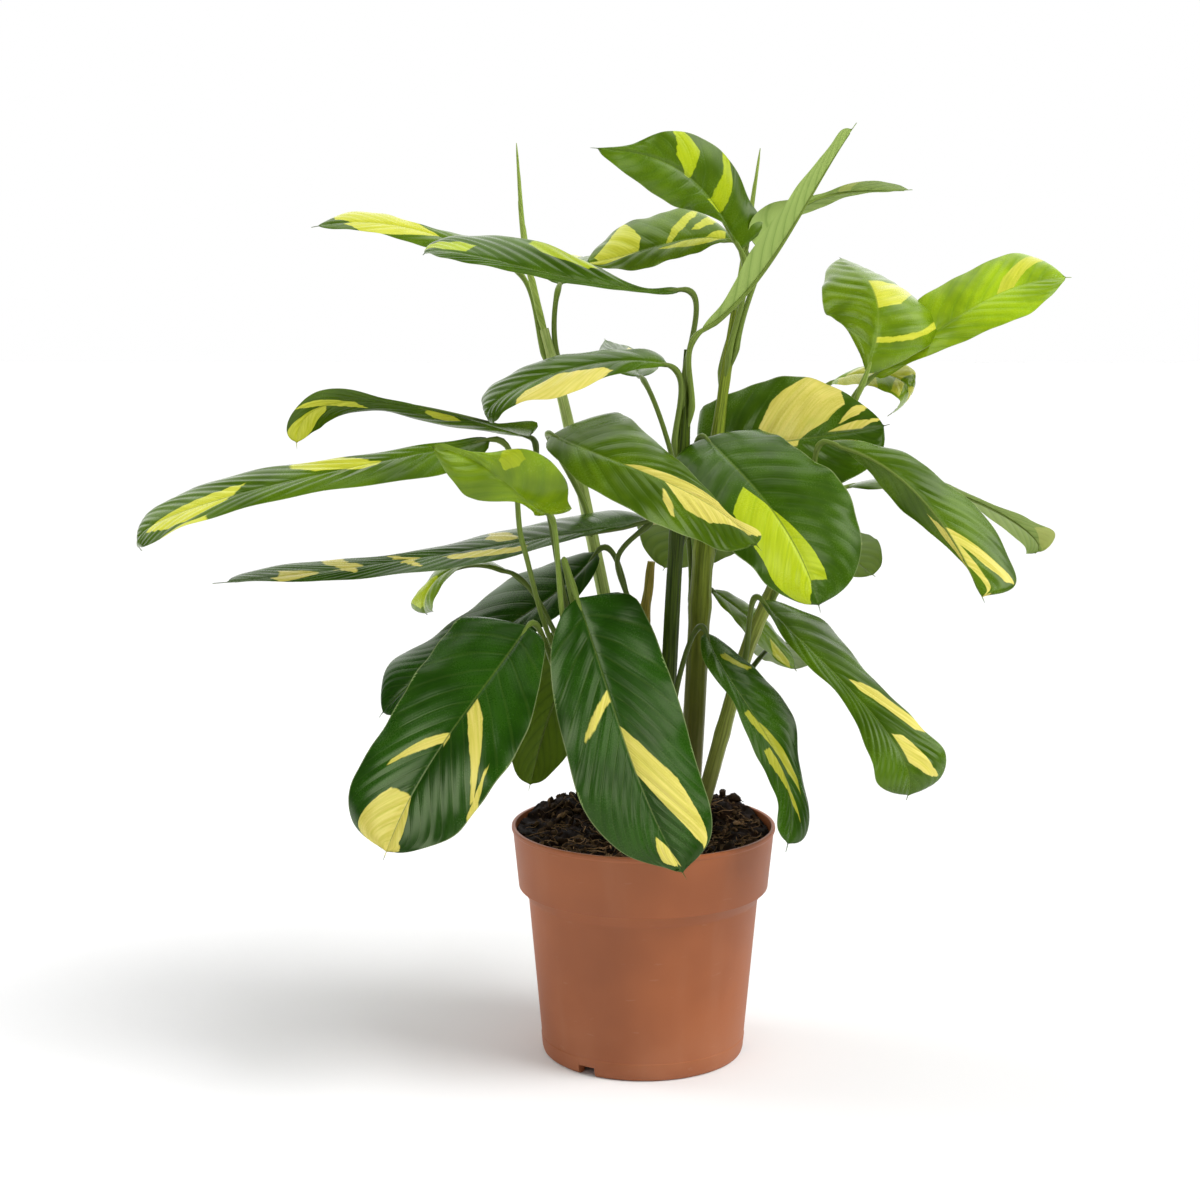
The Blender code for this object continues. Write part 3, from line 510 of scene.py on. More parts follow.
def drawn_outline(t, widths):
    """Half-width of a blade through seven given widths, in mm, and nothing at both ends: a Catmull-Rom
    curve over the place s, where t is (1 - cos of half a turn x s) / 2, so that the widths stand closest
    near the ends."""
    knots = np.concatenate([[-widths[0], 0], widths, [0, -widths[-1]]])
    place = np.arccos(1 - 2 * np.clip(t, 0, 1)) / math.pi * (len(widths) + 1)
    low = np.minimum(place.astype(int), len(widths))
    x = place - low
    a, b, c, d = (knots[low + step] for step in range(4))
    return b + x * (c - a + x * (2 * a - 5 * b + 4 * c - d + x * (3 * b - a - 3 * c + d))) / 2


def half_outline(t, widest, taper):
    """Width of half a blade as a part of its greatest: a sine power up to the widest place, then a cosine
    power."""
    rise = np.sin(math.pi / 2 * np.clip(t / widest, 0, 1)) ** BASE_ROUNDNESS
    fall = np.maximum(np.cos(math.pi / 2 * np.clip((t - widest) / (1 - widest), 0, 1)), 0) ** taper
    return np.where(t < widest, rise, fall)


def leaf_frame(leaf):
    """Ends of the blade with the two handles of its midrib, and its right-hand direction."""
    base, tip = np.array(leaf["base"], float), np.array(leaf["tip"], float)
    chord = tip - base
    right = unit(np.cross(chord, direction(*leaf["faces"])))
    upper = unit(np.cross(right, chord))
    handles = [
        base + chord * part + upper * arch + right * sway
        for part, arch, sway in zip((1 / 3, 2 / 3 + leaf["hook"]), leaf["arch"], leaf["sway"])
    ]
    return [base, *handles, tip], right


def midrib(leaf, t):
    """Cubic Bezier from the base to the tip, its direction, and the blade's side and normal: the side is
    the right-hand direction made perpendicular and turned about the midrib by the blade's twist."""
    (a, b, c, d), right = leaf_frame(leaf)
    t = np.asarray(t, float)[..., None]
    s = 1 - t
    point = a * s**3 + b * 3 * s * s * t + c * 3 * s * t * t + d * t**3
    along = unit((b - a) * s * s + (c - b) * 2 * s * t + (d - c) * t * t)
    side = unit(right - along * dot(along, right))
    twist = np.radians(leaf["twist"][0] + (leaf["twist"][1] - leaf["twist"][0]) * t)
    side = side * np.cos(twist) + np.cross(along, side) * np.sin(twist)
    return point, along, side, np.cross(side, along)


def vein_place(v, u, sweep):
    """Part of the way along the blade of the side vein v at u across it: 1 - (1 - v) to the power 1 +
    sweep x (|u| + |u| squared) / 2, so that the veins leave the midrib and bend towards the tip. Also the
    width of a pleat there, as a share of its width at the base: the slope of that place over v, 1 at
    most."""
    away = np.abs(u)
    power = 1 + sweep * (away + away**2) / 2
    return 1 - (1 - v) ** power, np.minimum(power * (1 - v) ** (power - 1), 1)


def blade_grid(leaf, v, u, seed):
    """Middle surface of a blade, its normals, and t: a point is midrib + side x outward + normal x
    upward, where a half of width w and slope f that loses c degrees by the margin has outward = w (sin f
    - sin(f - cu)) / c and upward = w (cos(f - cu) - cos f) / c. Pleats between the veins, some deep and
    some faint, a midrib groove, a wavy margin and a slow unevenness are added along the normal."""
    t, pleat_width = vein_place(v, u, leaf["sweep"])
    point, _, side, normal = midrib(leaf, t)
    right_half = u > 0
    part = np.clip(t / leaf["drip"], 0, 1)
    if leaf["outline"]:
        right, left = (drawn_outline(part, np.array(widths, float)) for widths in leaf["outline"])
        body = np.where(right_half, right, left)
    else:
        body = leaf["width"] / 2 * half_outline(part, leaf["widest"], leaf["taper"])
    half = body + DRIP_HALF_WIDTH * (1 - t) ** 0.7 * smooth_step(0.75, 0.92, t)
    slope = np.radians(np.where(right_half, *leaf["fold"]))
    curl = math.radians(CURL)
    away = np.abs(u)
    angle = slope - curl * away
    outward = np.sign(u) * half * (np.sin(slope) - np.sin(angle)) / curl
    upward = half * (np.cos(angle) - np.cos(slope)) / curl

    rng = np.random.default_rng(seed)
    calm = smooth_step(0, 0.12, t) * smooth_step(0, 0.1, 1 - t)
    size = leaf["width"] / LEAF_DEFAULTS["width"]
    place = np.stack([0.8 * v * leaf["pleats"], 1.6 * u, 0 * u + seed], axis=-1)
    pleats = -np.cos(TAU * v * leaf["pleats"]) * (0.2 + 1.5 * noise(place, seed) ** 1.5)
    pleats = leaf["relief"] * leaf["ribbing"] * pleats * smooth_step(0.02, 0.22, away)
    pleats = pleats * (1 - away**5) * pleat_width**1.5
    groove = -GROOVE_DEPTH * np.exp(-((outward / GROOVE_WIDTH) ** 2))
    phase = rng.uniform(0, TAU, 4)
    wave = leaf["wave"] * away**3 * np.sin(TAU * (2.6 * t + 0.5 * right_half) + phase[0])
    wave = wave + 0.5 * leaf["wave"] * away**4 * np.sin(TAU * (6.3 * t) + phase[1] + 2 * right_half)
    slow = 0.8 * np.sin(TAU * 1.3 * t + phase[2]) * np.sin(math.pi * 1.2 * u + phase[3]) * away
    lift = upward + size * calm * (pleats + wave + slow) + calm * groove
    return point + side * outward[..., None] + normal * lift[..., None], normal, t


def blade_faces(leaf, seed):
    """Closed blade, as two shells that share their points: its upper and under faces stand half the
    thickness each side of the middle surface, less towards the margin as the root of 1 - u squared, and
    share the margin and the two ends."""
    length = run_along(midrib(leaf, np.linspace(0, 1, 40))[0])[-1]
    leaf["pleats"] = max(round(length / leaf["pleat_spacing"]), 6)
    rows, columns = leaf["pleats"] * ROWS_IN_A_PLEAT, ACROSS_STATIONS
    v = np.linspace(0, 1, rows + 1)[:, None]
    s = np.linspace(-1, 1, columns)[None]
    v, u = np.broadcast_arrays(v, np.sign(s) * np.abs(s) ** CROWDING)
    middle, normal, t = blade_grid(leaf, v, u, seed)
    fresh = np.cross(np.gradient(middle, axis=1), np.gradient(middle, axis=0))
    length_of = np.linalg.norm(fresh, axis=2, keepdims=True)
    normal = unit(np.where(length_of > 1e-7, fresh / np.maximum(length_of, 1e-12), normal) + 0.2 * normal)
    half = leaf["thickness"] / 2 * np.sqrt(np.maximum(1 - u * u, 0))[..., None]
    over, under = middle + normal * half, middle - normal * half

    inner = rows - 1
    over_index = np.arange(inner * columns).reshape(inner, columns)
    under_index = np.arange(inner * (columns - 2)).reshape(inner, columns - 2) + over_index.size
    ends = over_index.size + under_index.size
    under_index = np.concatenate([over_index[:, :1], under_index, over_index[:, -1:]], axis=1)
    points = np.concatenate([
        over[1:-1].reshape(-1, 3), under[1:-1, 1:-1].reshape(-1, 3), middle[:1, 0], middle[-1:, 0]])

    def face(own, index, chart_middle, above, flip):
        index = np.concatenate([np.full((1, columns), ends), index, np.full((1, columns), ends + 1)])
        chart = np.stack([0.02 + 0.96 * t, chart_middle + 0.23 * u], axis=2)
        return Shell(own, index, chart, np.stack([v, u, np.full_like(u, above)], axis=2), flip=flip)

    return [face(points, over_index, 0.75, 1.0, False), face(points[:0], under_index, 0.27, 0.0, True)]


def petiole_shell(leaf):
    """Petiole and the rib it becomes under the blade, one round tube: it comes out of the sheath on the
    stem, thins, swells just before the blade, and runs on along the blade's underside, thinning to the
    tip."""
    (base, handle, _, _), right = leaf_frame(leaf)
    centre, climb, radius = stem_at(leaf["stem"], leaf["joins"])
    outward = direction(leaf["side"])
    outward = unit(outward - climb * dot(outward, climb))
    foot = centre + outward * (radius + GAP + PETIOLE_RADIUS)
    free = smooth_path([foot, *leaf["via"], base], climb, handle - base, 14 if leaf["via"] else 24)

    down = np.linspace(1, 0, 9)[:-1, None]
    sheath = foot - climb * down * SHEATH - outward * (radius * 0.8) * down**1.6
    t = np.linspace(0, 0.95, 34)[1:]
    rib_radius = RIB_RADIUS * (1 - t) + RIB_END_RADIUS
    point, _, _, normal = midrib(leaf, t)
    rib = point - normal * ((rib_radius + 0.3) * smooth_step(0, 0.07, t))[:, None]

    run = run_along(free)
    left = run[-1] - run
    girth = PETIOLE_RADIUS + 0.5 * np.exp(-((left[0] - left) / 12))
    girth = girth + 0.45 * np.exp(-(((left - 7) / 5) ** 2))
    girth = girth + (PULVINUS_RADIUS - PETIOLE_RADIUS) * np.exp(-left / 2)
    path = np.concatenate([sheath, free, rib])
    radii = np.concatenate([np.linspace(0.8, girth[0], len(sheath)), girth, rib_radius])
    around = np.arange(PETIOLE_SIDES)[None] / PETIOLE_SIDES
    grid = np.repeat(radii[:, None], PETIOLE_SIDES, axis=1)
    return sleeve(path, grid, around, leaf["petiole"], right, area=(0.02, 0.003, 0.98, 0.03), material=1)


def filleted(corners, steps=4):
    """Profile through corners of (radius, height, fillet): each corner becomes the quadratic Bezier from
    a fillet's length before it to as far after it, bent towards the corner."""
    corners = np.array(corners, float)
    at, size = corners[1:-1, :2], corners[1:-1, 2:]
    before, after = at + unit(corners[:-2, :2] - at) * size, at + unit(corners[2:, :2] - at) * size
    t = np.linspace(0, 1, steps + 1)[None, :, None]
    curves = before[:, None] * (1 - t) ** 2 + at[:, None] * 2 * t * (1 - t) + after[:, None] * t**2
    return np.concatenate([corners[:1, :2], curves.reshape(-1, 2), corners[-1:, :2]])


def wall_radius(height):
    """Inner radius of the pot's wall at a height: straight lines between the body, the step and the
    collar."""
    heights = (0, STEP_FOOT, STEP_TOP, POT_HEIGHT)
    radii = (FOOT_RADIUS, BODY_TOP_RADIUS, COLLAR_FOOT_RADIUS, RIM_RADIUS - 0.6)
    return np.interp(height, heights, radii) - WALL


def pot_shell():
    """Turned pot with rounded edges. At the turns that lie within a drain notch, the foot's points are
    lifted to the top of the notch; each side of a notch has one turn just inside it and one just
    outside."""
    ring_inner = FOOT_RADIUS - 1.2 - FOOT_RING_WIDTH
    bead = STEP_FOOT - BEAD_BELOW_STEP
    profile = filleted([
        (0.5, 0.2, 0), (PAD_RADIUS, 0.2, 0.5), (PAD_RADIUS + 1.5, FLOOR_UNDERSIDE, 0.5),
        (ring_inner - 1, FLOOR_UNDERSIDE, 0.4), (ring_inner, 0, 0.5), (FOOT_RADIUS - 0.9, 0, 1.4),
        (FOOT_RADIUS + 0.1, 3.4, 1.6), (FOOT_RADIUS + 0.75, bead, 0.3), (FOOT_RADIUS + 0.45, bead + 0.5, 0.2),
        (BODY_TOP_RADIUS - 0.1, STEP_FOOT - 0.4, 1.2), (COLLAR_FOOT_RADIUS - 1.8, STEP_TOP - 1.2, 0.4),
        (COLLAR_FOOT_RADIUS - 0.3, STEP_TOP - 0.9, 0.4),
        (RIM_RADIUS - 0.9, POT_HEIGHT - 3.4, 0.5), (RIM_RADIUS, POT_HEIGHT - 2.5, 0.6),
        (RIM_RADIUS, POT_HEIGHT, 0.8), (RIM_RADIUS - WALL - 0.5, POT_HEIGHT, 0.6),
        (RIM_RADIUS - WALL - 0.8, POT_HEIGHT - 3, 0.8),
        (wall_radius(STEP_TOP), STEP_TOP, 1.2), (wall_radius(STEP_FOOT), STEP_FOOT, 1.2),
        (wall_radius(FLOOR_TOP) - 1, FLOOR_TOP + 2.6, 1.5), (0.5, FLOOR_TOP + 2.6, 0)])
    notch_half = math.degrees(math.asin(NOTCH_WIDTH / 2 / FOOT_RADIUS))
    even = np.linspace(-180, 180, POT_TURNS, endpoint=False)
    sides = [turn + side * (notch_half + step)
             for turn, side, step in product(NOTCH_ANGLES, (-1, 1), (-0.1, 0.1))]
    turns = np.radians(np.unique(np.concatenate([even, sides])))
    away = turns - np.radians(NOTCH_ANGLES)[:, None]
    from_notch = np.min(np.abs((away + math.pi) % TAU - math.pi), axis=0)
    notched = from_notch < math.radians(notch_half)

    rings = turned(profile[:, :1], profile[:, 1:], turns)
    pattern = rings / 10
    foot = (profile[:, 0] > ring_inner - 1.5) & (np.arange(len(profile)) < len(profile) // 2)
    lifted = foot[:, None] & notched[None]
    rings[..., 2] = np.where(lifted, np.maximum(rings[..., 2], NOTCH_HEIGHT), rings[..., 2])
    return wrapped(rings, pattern)


def soil_height(radius, turn):
    """Height of the peat: level at the front and heaped at the back, with clumps, and lumps of four sizes
    added as noise less its mean."""
    part = radius / wall_radius(SOIL_EDGE_HEIGHT)
    back = 0.5 + 0.5 * part * np.sin(turn)
    heap = SOIL_HEAP * back * back
    x, y = radius * np.cos(turn), radius * np.sin(turn)
    place = np.stack([x, y, 0 * x], axis=-1)
    for centre_x, centre_y, rise, wide in CLUMPS:
        heap = heap + rise * np.exp(-((x - centre_x) ** 2 + (y - centre_y) ** 2) / (2 * wide**2))
    lumps = sum(height * (noise(place / size, seed) - 0.5) for seed, (size, height) in enumerate(LUMPS, 1))
    return SOIL_EDGE_HEIGHT + heap + lumps


def toned(rings, tone):
    """Pattern coordinates of peat: the place from above in centimetres, and the tone."""
    return np.concatenate([rings[..., :2] / 10, np.full((*rings.shape[:2], 1), tone)], axis=2)


def soil_body():
    """Turned block of peat that fills the pot: up the wall, then in over the lumpy top to the middle."""
    turns = TAU * np.arange(240) / 240
    wall = np.array([(20, 8.6), (wall_radius(9) - 3, 8.6), (wall_radius(60) - 0.8, 60),
                     (wall_radius(STEP_FOOT) - 0.8, STEP_FOOT),
                     (wall_radius(STEP_TOP) - 1, STEP_TOP), (wall_radius(130) - 0.4, 130)], float)
    edge = wall_radius(SOIL_EDGE_HEIGHT) - 0.3
    radius = np.concatenate([wall[:, 0], edge * np.linspace(1, 0.012, 84)])[:, None] + 0 * turns
    height = np.concatenate([wall[:, 1:] + 0 * turns, soil_height(radius[len(wall):], turns[None])])
    rings = turned(radius, height, turns)
    return wrapped(rings, toned(rings, 0), (0.01, 0.01, 0.99, 0.6))


def random_turns(rng, count):
    """Rotation matrices from random unit quaternions."""
    w, x, y, z = unit(rng.normal(size=(count, 4))).T
    return np.stack([
        1 - 2 * (y * y + z * z), 2 * (x * y - z * w), 2 * (x * z + y * w),
        2 * (x * y + z * w), 1 - 2 * (x * x + z * z), 2 * (y * z - x * w),
        2 * (x * z - y * w), 2 * (y * z + x * w), 1 - 2 * (x * x + y * y)], axis=1).reshape(count, 3, 3)


def on_soil(rng, count, reach=0.97):
    """Random places on the peat, even over its area, as radius, turn and height."""
    radius = wall_radius(SOIL_EDGE_HEIGHT) * reach * np.sqrt(rng.uniform(0.002, 1, count))
    turn = rng.uniform(0, TAU, count)
    return radius, turn, soil_height(radius, turn)


def many(rings, tones, strip):
    """Equal closed shells. Rings has a shell for each first index, tones the tone of each, and strip is
    the low and high edge of the band of the bake map that they fill in a square array."""
    side = math.ceil(math.sqrt(len(rings)))
    cell = np.array((0.98, strip[1] - strip[0])) / side
    shells = []
    for number, (one, tone) in enumerate(zip(rings, tones)):
        low = (0.01, strip[0]) + cell * (number % side, number // side)
        shells.append(wrapped(one, toned(one, tone), (*low, *(low + 0.9 * cell))))
    return shells


def crumbs(rng, count):
    """Lumps of peat: a ball of four rings of seven points, each point pushed in or out at random, turned
    at random and flattened a little, half sunk in the surface."""
    polar = np.linspace(0, math.pi, 6)[1:-1, None]
    turn = TAU * np.arange(7)[None] / 7
    ball = turned(np.sin(polar), -np.cos(polar), turn)
    size = np.clip(rng.lognormal(0.25, 0.5, count), 0.7, 4.2)[:, None, None, None]
    stretch = np.stack([rng.uniform(*ends, count) for ends in ((0.8, 1.9), (0.7, 1.1), (0.5, 0.9))], 1)
    rough = rng.uniform(0.72, 1.2, (count, 4, 7, 1))
    lumps = ball[None] * rough * stretch[:, None, None] * size
    lumps = np.einsum("nij,nrcj->nrci", random_turns(rng, count), lumps)
    radius, turn, height = on_soil(rng, count, 0.95)
    height = height + 0.4 * size[:, 0, 0, 0]
    place = np.stack([radius * np.cos(turn), radius * np.sin(turn), height], axis=1)
    return lumps + place[:, None, None]


def fibres(rng, count, pale):
    """Peat fibres: a five-sided tube along a path whose heading drifts at random, lying on the surface
    with its ends and middle lifted a little."""
    stations = 8
    radius, turn, _ = on_soil(rng, count, 0.86)
    length = rng.uniform(7, 24, count) * (0.8 if pale else 1)
    heading = rng.uniform(0, TAU, (count, 1)) + np.cumsum(rng.normal(0, 0.32, (count, stations)), axis=1)
    step = (length / stations)[:, None]
    x = (radius * np.cos(turn))[:, None] + np.cumsum(np.cos(heading) * step, axis=1)
    y = (radius * np.sin(turn))[:, None] + np.cumsum(np.sin(heading) * step, axis=1)
    far = np.hypot(x, y)
    limit = wall_radius(SOIL_EDGE_HEIGHT) - 2.0
    x, y = x * np.minimum(1, limit / far), y * np.minimum(1, limit / far)
    far = np.hypot(x, y)
    lift = rng.uniform(0.3, 2.2, (count, 1)) * (1 + rng.normal(0, 0.4, (count, stations)))
    z = soil_height(far, np.arctan2(y, x)) + np.abs(lift)
    z = (z + np.roll(z, 1, axis=1) + np.roll(z, -1, axis=1)) / 3
    path = np.stack([x, y, z], axis=2)
    along = unit(np.gradient(path, axis=1))
    side = unit(np.cross(along, UP + 0.01))
    across = np.cross(along, side)
    girth = rng.uniform(0.16, 0.42, (count, 1))
    girth = girth * np.interp(np.arange(stations), (0, 2, 5, 7), (0.5, 1, 1, 0.3))
    return path[:, :, None] + spokes(side, across, 5) * girth[..., None, None]


def soil_shell(settings):
    """Peat body with its crumbs and its dark and pale fibres in one mesh."""
    rng = np.random.default_rng(settings.seed)
    crumb_tones = rng.choice([0.05, 0.15, 0.3, 0.55], settings.crumbs, p=[0.45, 0.3, 0.17, 0.08])
    dark = settings.fibres * 2 // 3
    pale = settings.fibres - dark
    shells = [soil_body()]
    shells += many(crumbs(rng, settings.crumbs), crumb_tones, (0.61, 0.8))
    shells += many(fibres(rng, dark, False), rng.uniform(0.2, 0.5, dark), (0.81, 0.9))
    shells += many(fibres(rng, pale, True), rng.uniform(0.7, 1.0, pale), (0.91, 0.99))
    return joined(shells)


def stem_shell(name, settings):
    """Tube along a stem whose radius carries lengthwise ribs, radius x (1 + depth cos(ribs x a + drift)),
    a slight swelling under each leaf that grows from it, and three lobes that twist up the length of the
    dried stem, which narrows to its top."""
    path, radii = stem_path(name, 26)
    sides = 48
    angle = TAU * np.arange(sides)[None] / sides
    heights = path[:, 2:]
    ribs = 9 if name in ("cane_broad", "leafy_shoot") else 7
    depth = settings.rib_depth / radii[:, None]
    grid = radii[:, None] * (1 + depth * np.cos(ribs * angle + heights / 38))
    grid = grid * (1 + 0.4 * depth * np.cos((2 * ribs + 1) * angle - heights / 25))
    for leaf in LEAVES.values():
        if leaf["stem"] == name:
            grid = grid * (1 + 0.09 * np.exp(-(((heights - leaf["joins"] + 6) / 5) ** 2)))
    if name == "cut_stem":
        grid = grid * (1 + 0.1 * np.cos(3 * angle + heights / 4))
    return sleeve(path, grid, angle / TAU, heights / 10)


def new_leaf_shell(name):
    """Rolled leaf: a spike whose radius steps down once round, so that the edge of the roll climbs it as
    a spiral, 0.3 of a turn for each centimetre."""
    stem, points = NEW_LEAVES[name]
    path, _ = stem_path(stem, 3)
    climb = unit(path[-1] - path[-2])
    foot = path[-1] - climb * 2
    spike = smooth_path([foot, *points], climb, np.subtract(points[-1], points[-2]), 40)
    run = run_along(spike)
    part = (run / run[-1])[:, None]
    angle = np.arange(36)[None] / 36
    roll = (angle + 0.03 * run[:, None]) % 1
    girth = np.interp(part, (0, 0.08, 0.5, 0.93, 1), (2.0, 2.25, 2.05, 0.75, 0.25))
    return sleeve(spike, girth * (0.9 + 0.2 * roll), roll, part)


class Net:
    """Adds shader nodes to a tree and links them. A value may be a number, a colour or a node's
    output."""

    def __init__(self, tree):
        self.tree = tree

    def put(self, socket, value):
        if isinstance(value, bpy.types.NodeSocket):
            self.tree.links.new(value, socket)
        else:
            socket.default_value = (*value, 1.0) if socket.type == "RGBA" else value

    def add(self, kind, inputs=None, **settings):
        node = self.tree.nodes.new("ShaderNode" + kind)
        for key, value in settings.items():
            setattr(node, key, value)
        for key, value in (inputs or {}).items():
            self.put(node.inputs[key], value)
        return node

    def math(self, operation, *values, clamp=False):
        node = self.add("Math", operation=operation, use_clamp=clamp)
        for socket, value in zip(node.inputs, values):
            self.put(socket, value)
        return node.outputs[0]

    plus = partialmethod(math, "ADD")
    minus = partialmethod(math, "SUBTRACT")
    times = partialmethod(math, "MULTIPLY")
    times_plus = partialmethod(math, "MULTIPLY_ADD")

    def mix(self, factor, a, b, blend="MIX"):
        return self.add("Mix", {0: factor, 6: a, 7: b}, data_type="RGBA", blend_type=blend).outputs[2]

    def tinted(self, colour, tint):
        return self.mix(1.0, colour, tint, "MULTIPLY")

    def span(self, value, low, high, to_low=0.0, to_high=1.0):
        """Smooth step of the value from low to high, carried to the two new ends."""
        ends = {"Value": value, "From Min": low, "From Max": high, "To Min": to_low, "To Max": to_high}
        return self.add("MapRange", ends, interpolation_type="SMOOTHSTEP").outputs[0]

    def touched(self, colour, other, share, value, low, high):
        """The colour with up to a share of another over it, where the value rises from low to high."""
        return self.mix(self.times(self.span(value, low, high), share), colour, other)

    def noise(self, vector, scale, detail=2.0, roughness=0.5):
        values = {"Vector": vector, "Scale": scale, "Detail": detail, "Roughness": roughness}
        return self.add("TexNoise", values).outputs[0]

    def stretched_noise(self, *axes, detail=2.0):
        """Noise over up to three coordinates, each a number, or a value with its factor."""
        axes = [self.times(*axis) if isinstance(axis, tuple) else axis for axis in axes]
        return self.noise(self.join(*axes), 1.0, detail)

    def join(self, x, y=0.0, z=0.0):
        return self.add("CombineXYZ", {0: x, 1: y, 2: z}).outputs[0]

    def split(self, vector):
        return self.add("SeparateXYZ", {0: vector}).outputs

    def place(self):
        """The place in the piece's own frame."""
        return self.add("TexCoord").outputs["Object"]

    def pattern(self):
        """The piece's own pattern coordinates, corner by corner."""
        return self.split(self.add("Attribute", attribute_name="pattern").outputs["Vector"])

    def group(self, name, **inputs):
        node = self.add("Group", node_tree=bpy.data.node_groups[name])
        for key, value in inputs.items():
            self.put(node.inputs[key.replace("_", " ")], value)
        return node.outputs


FINISH = {"Colour": "Color", "Roughness": "Float", "Height": "Float"}


def new_group(name, numbers, colours=(), outputs=FINISH):
    """Node group from the labels of its inputs and from its outputs as {label: kind}: its net, its inputs
    in order, and a function that takes its outputs."""
    tree = bpy.data.node_groups.new(name, "ShaderNodeTree")
    inputs = {**dict.fromkeys(numbers, "Float"), **dict.fromkeys(colours, "Color")}
    for way, sockets in (("INPUT", inputs), ("OUTPUT", outputs)):
        for label, kind in sockets.items():
            tree.interface.new_socket(label, in_out=way, socket_type="NodeSocket" + kind)
    net = Net(tree)
    entry = tree.nodes.new("NodeGroupInput").outputs
    ends = tree.nodes.new("NodeGroupOutput").inputs

    def leave(**values):
        for label, value in values.items():
            net.put(ends[label], value)

    return net, [entry[label] for label in inputs], leave


def side_vein_group():
    """Pleats, side veins and the fine veins between them, as waves of the place along the veins."""
    net, (along, across, pleats), leave = new_group(
        "Side veins", ["Along", "Across", "Pleats"],
        outputs=dict.fromkeys(("Pleat", "Vein", "Fine"), "Float"))
    drift = net.stretched_noise((along, 9.0), (across, 1.5))
    place = net.plus(net.times(along, pleats), net.times(net.minus(drift, 0.5), 0.35))
    wave = net.math("COSINE", net.times(place, TAU))
    fine = net.math("COSINE", net.times(place, TAU * 5))
    leave(Pleat=net.span(wave, -1.0, 1.0, 1.0, 0.0), Vein=net.span(wave, 0.8, 1.0),
          Fine=net.span(fine, 0.2, 1.0))


def cream_patch_group():
    """Mask of one patch: between two places across the blade, and between a first and a last side vein
    that may differ at those places. Its edges along the veins and at the midrib are clean, and its outer
    ends run out in short fingers between the veins."""
    labels = ["Along", "Across", "First", "First Start", "First End", "Last", "Last Start", "Last End"]
    net, inputs, leave = new_group("Cream patch", labels, outputs={"Mask": "Float"})
    along, across, first, first_start, first_end, last, last_start, last_end = inputs
    finger = net.stretched_noise((along, 60.0), (across, 2.0))
    loose = net.span(net.math("ABSOLUTE", across), 0.06, 0.4, 0.0, 0.05)
    ragged = net.times_plus(net.minus(finger, 0.5), loose, across)
    wander = net.stretched_noise((along, 14.0), (across, 9.0), 3.0)
    veiny = net.times_plus(net.minus(wander, 0.5), 0.016, along)
    part = net.math("DIVIDE", net.minus(ragged, first), net.minus(last, first), clamp=True)
    left_end = net.times_plus(net.math("LESS_THAN", first, -0.94), -0.2, first)
    right_end = net.times_plus(net.math("GREATER_THAN", last, 0.94), 0.2, last)

    def between(low, high):
        return net.times_plus(net.minus(high, low), part, low)

    def above(value, edge, soft):
        return net.math("DIVIDE", net.minus(value, net.minus(edge, soft)), 2 * soft, clamp=True)

    mask = above(veiny, between(first_start, last_start), 0.0025)
    mask = net.times(mask, net.minus(1.0, above(veiny, between(first_end, last_end), 0.0025)))
    mask = net.times(mask, above(ragged, left_end, 0.012))
    leave(Mask=net.times(mask, net.minus(1.0, above(ragged, right_end, 0.012))))


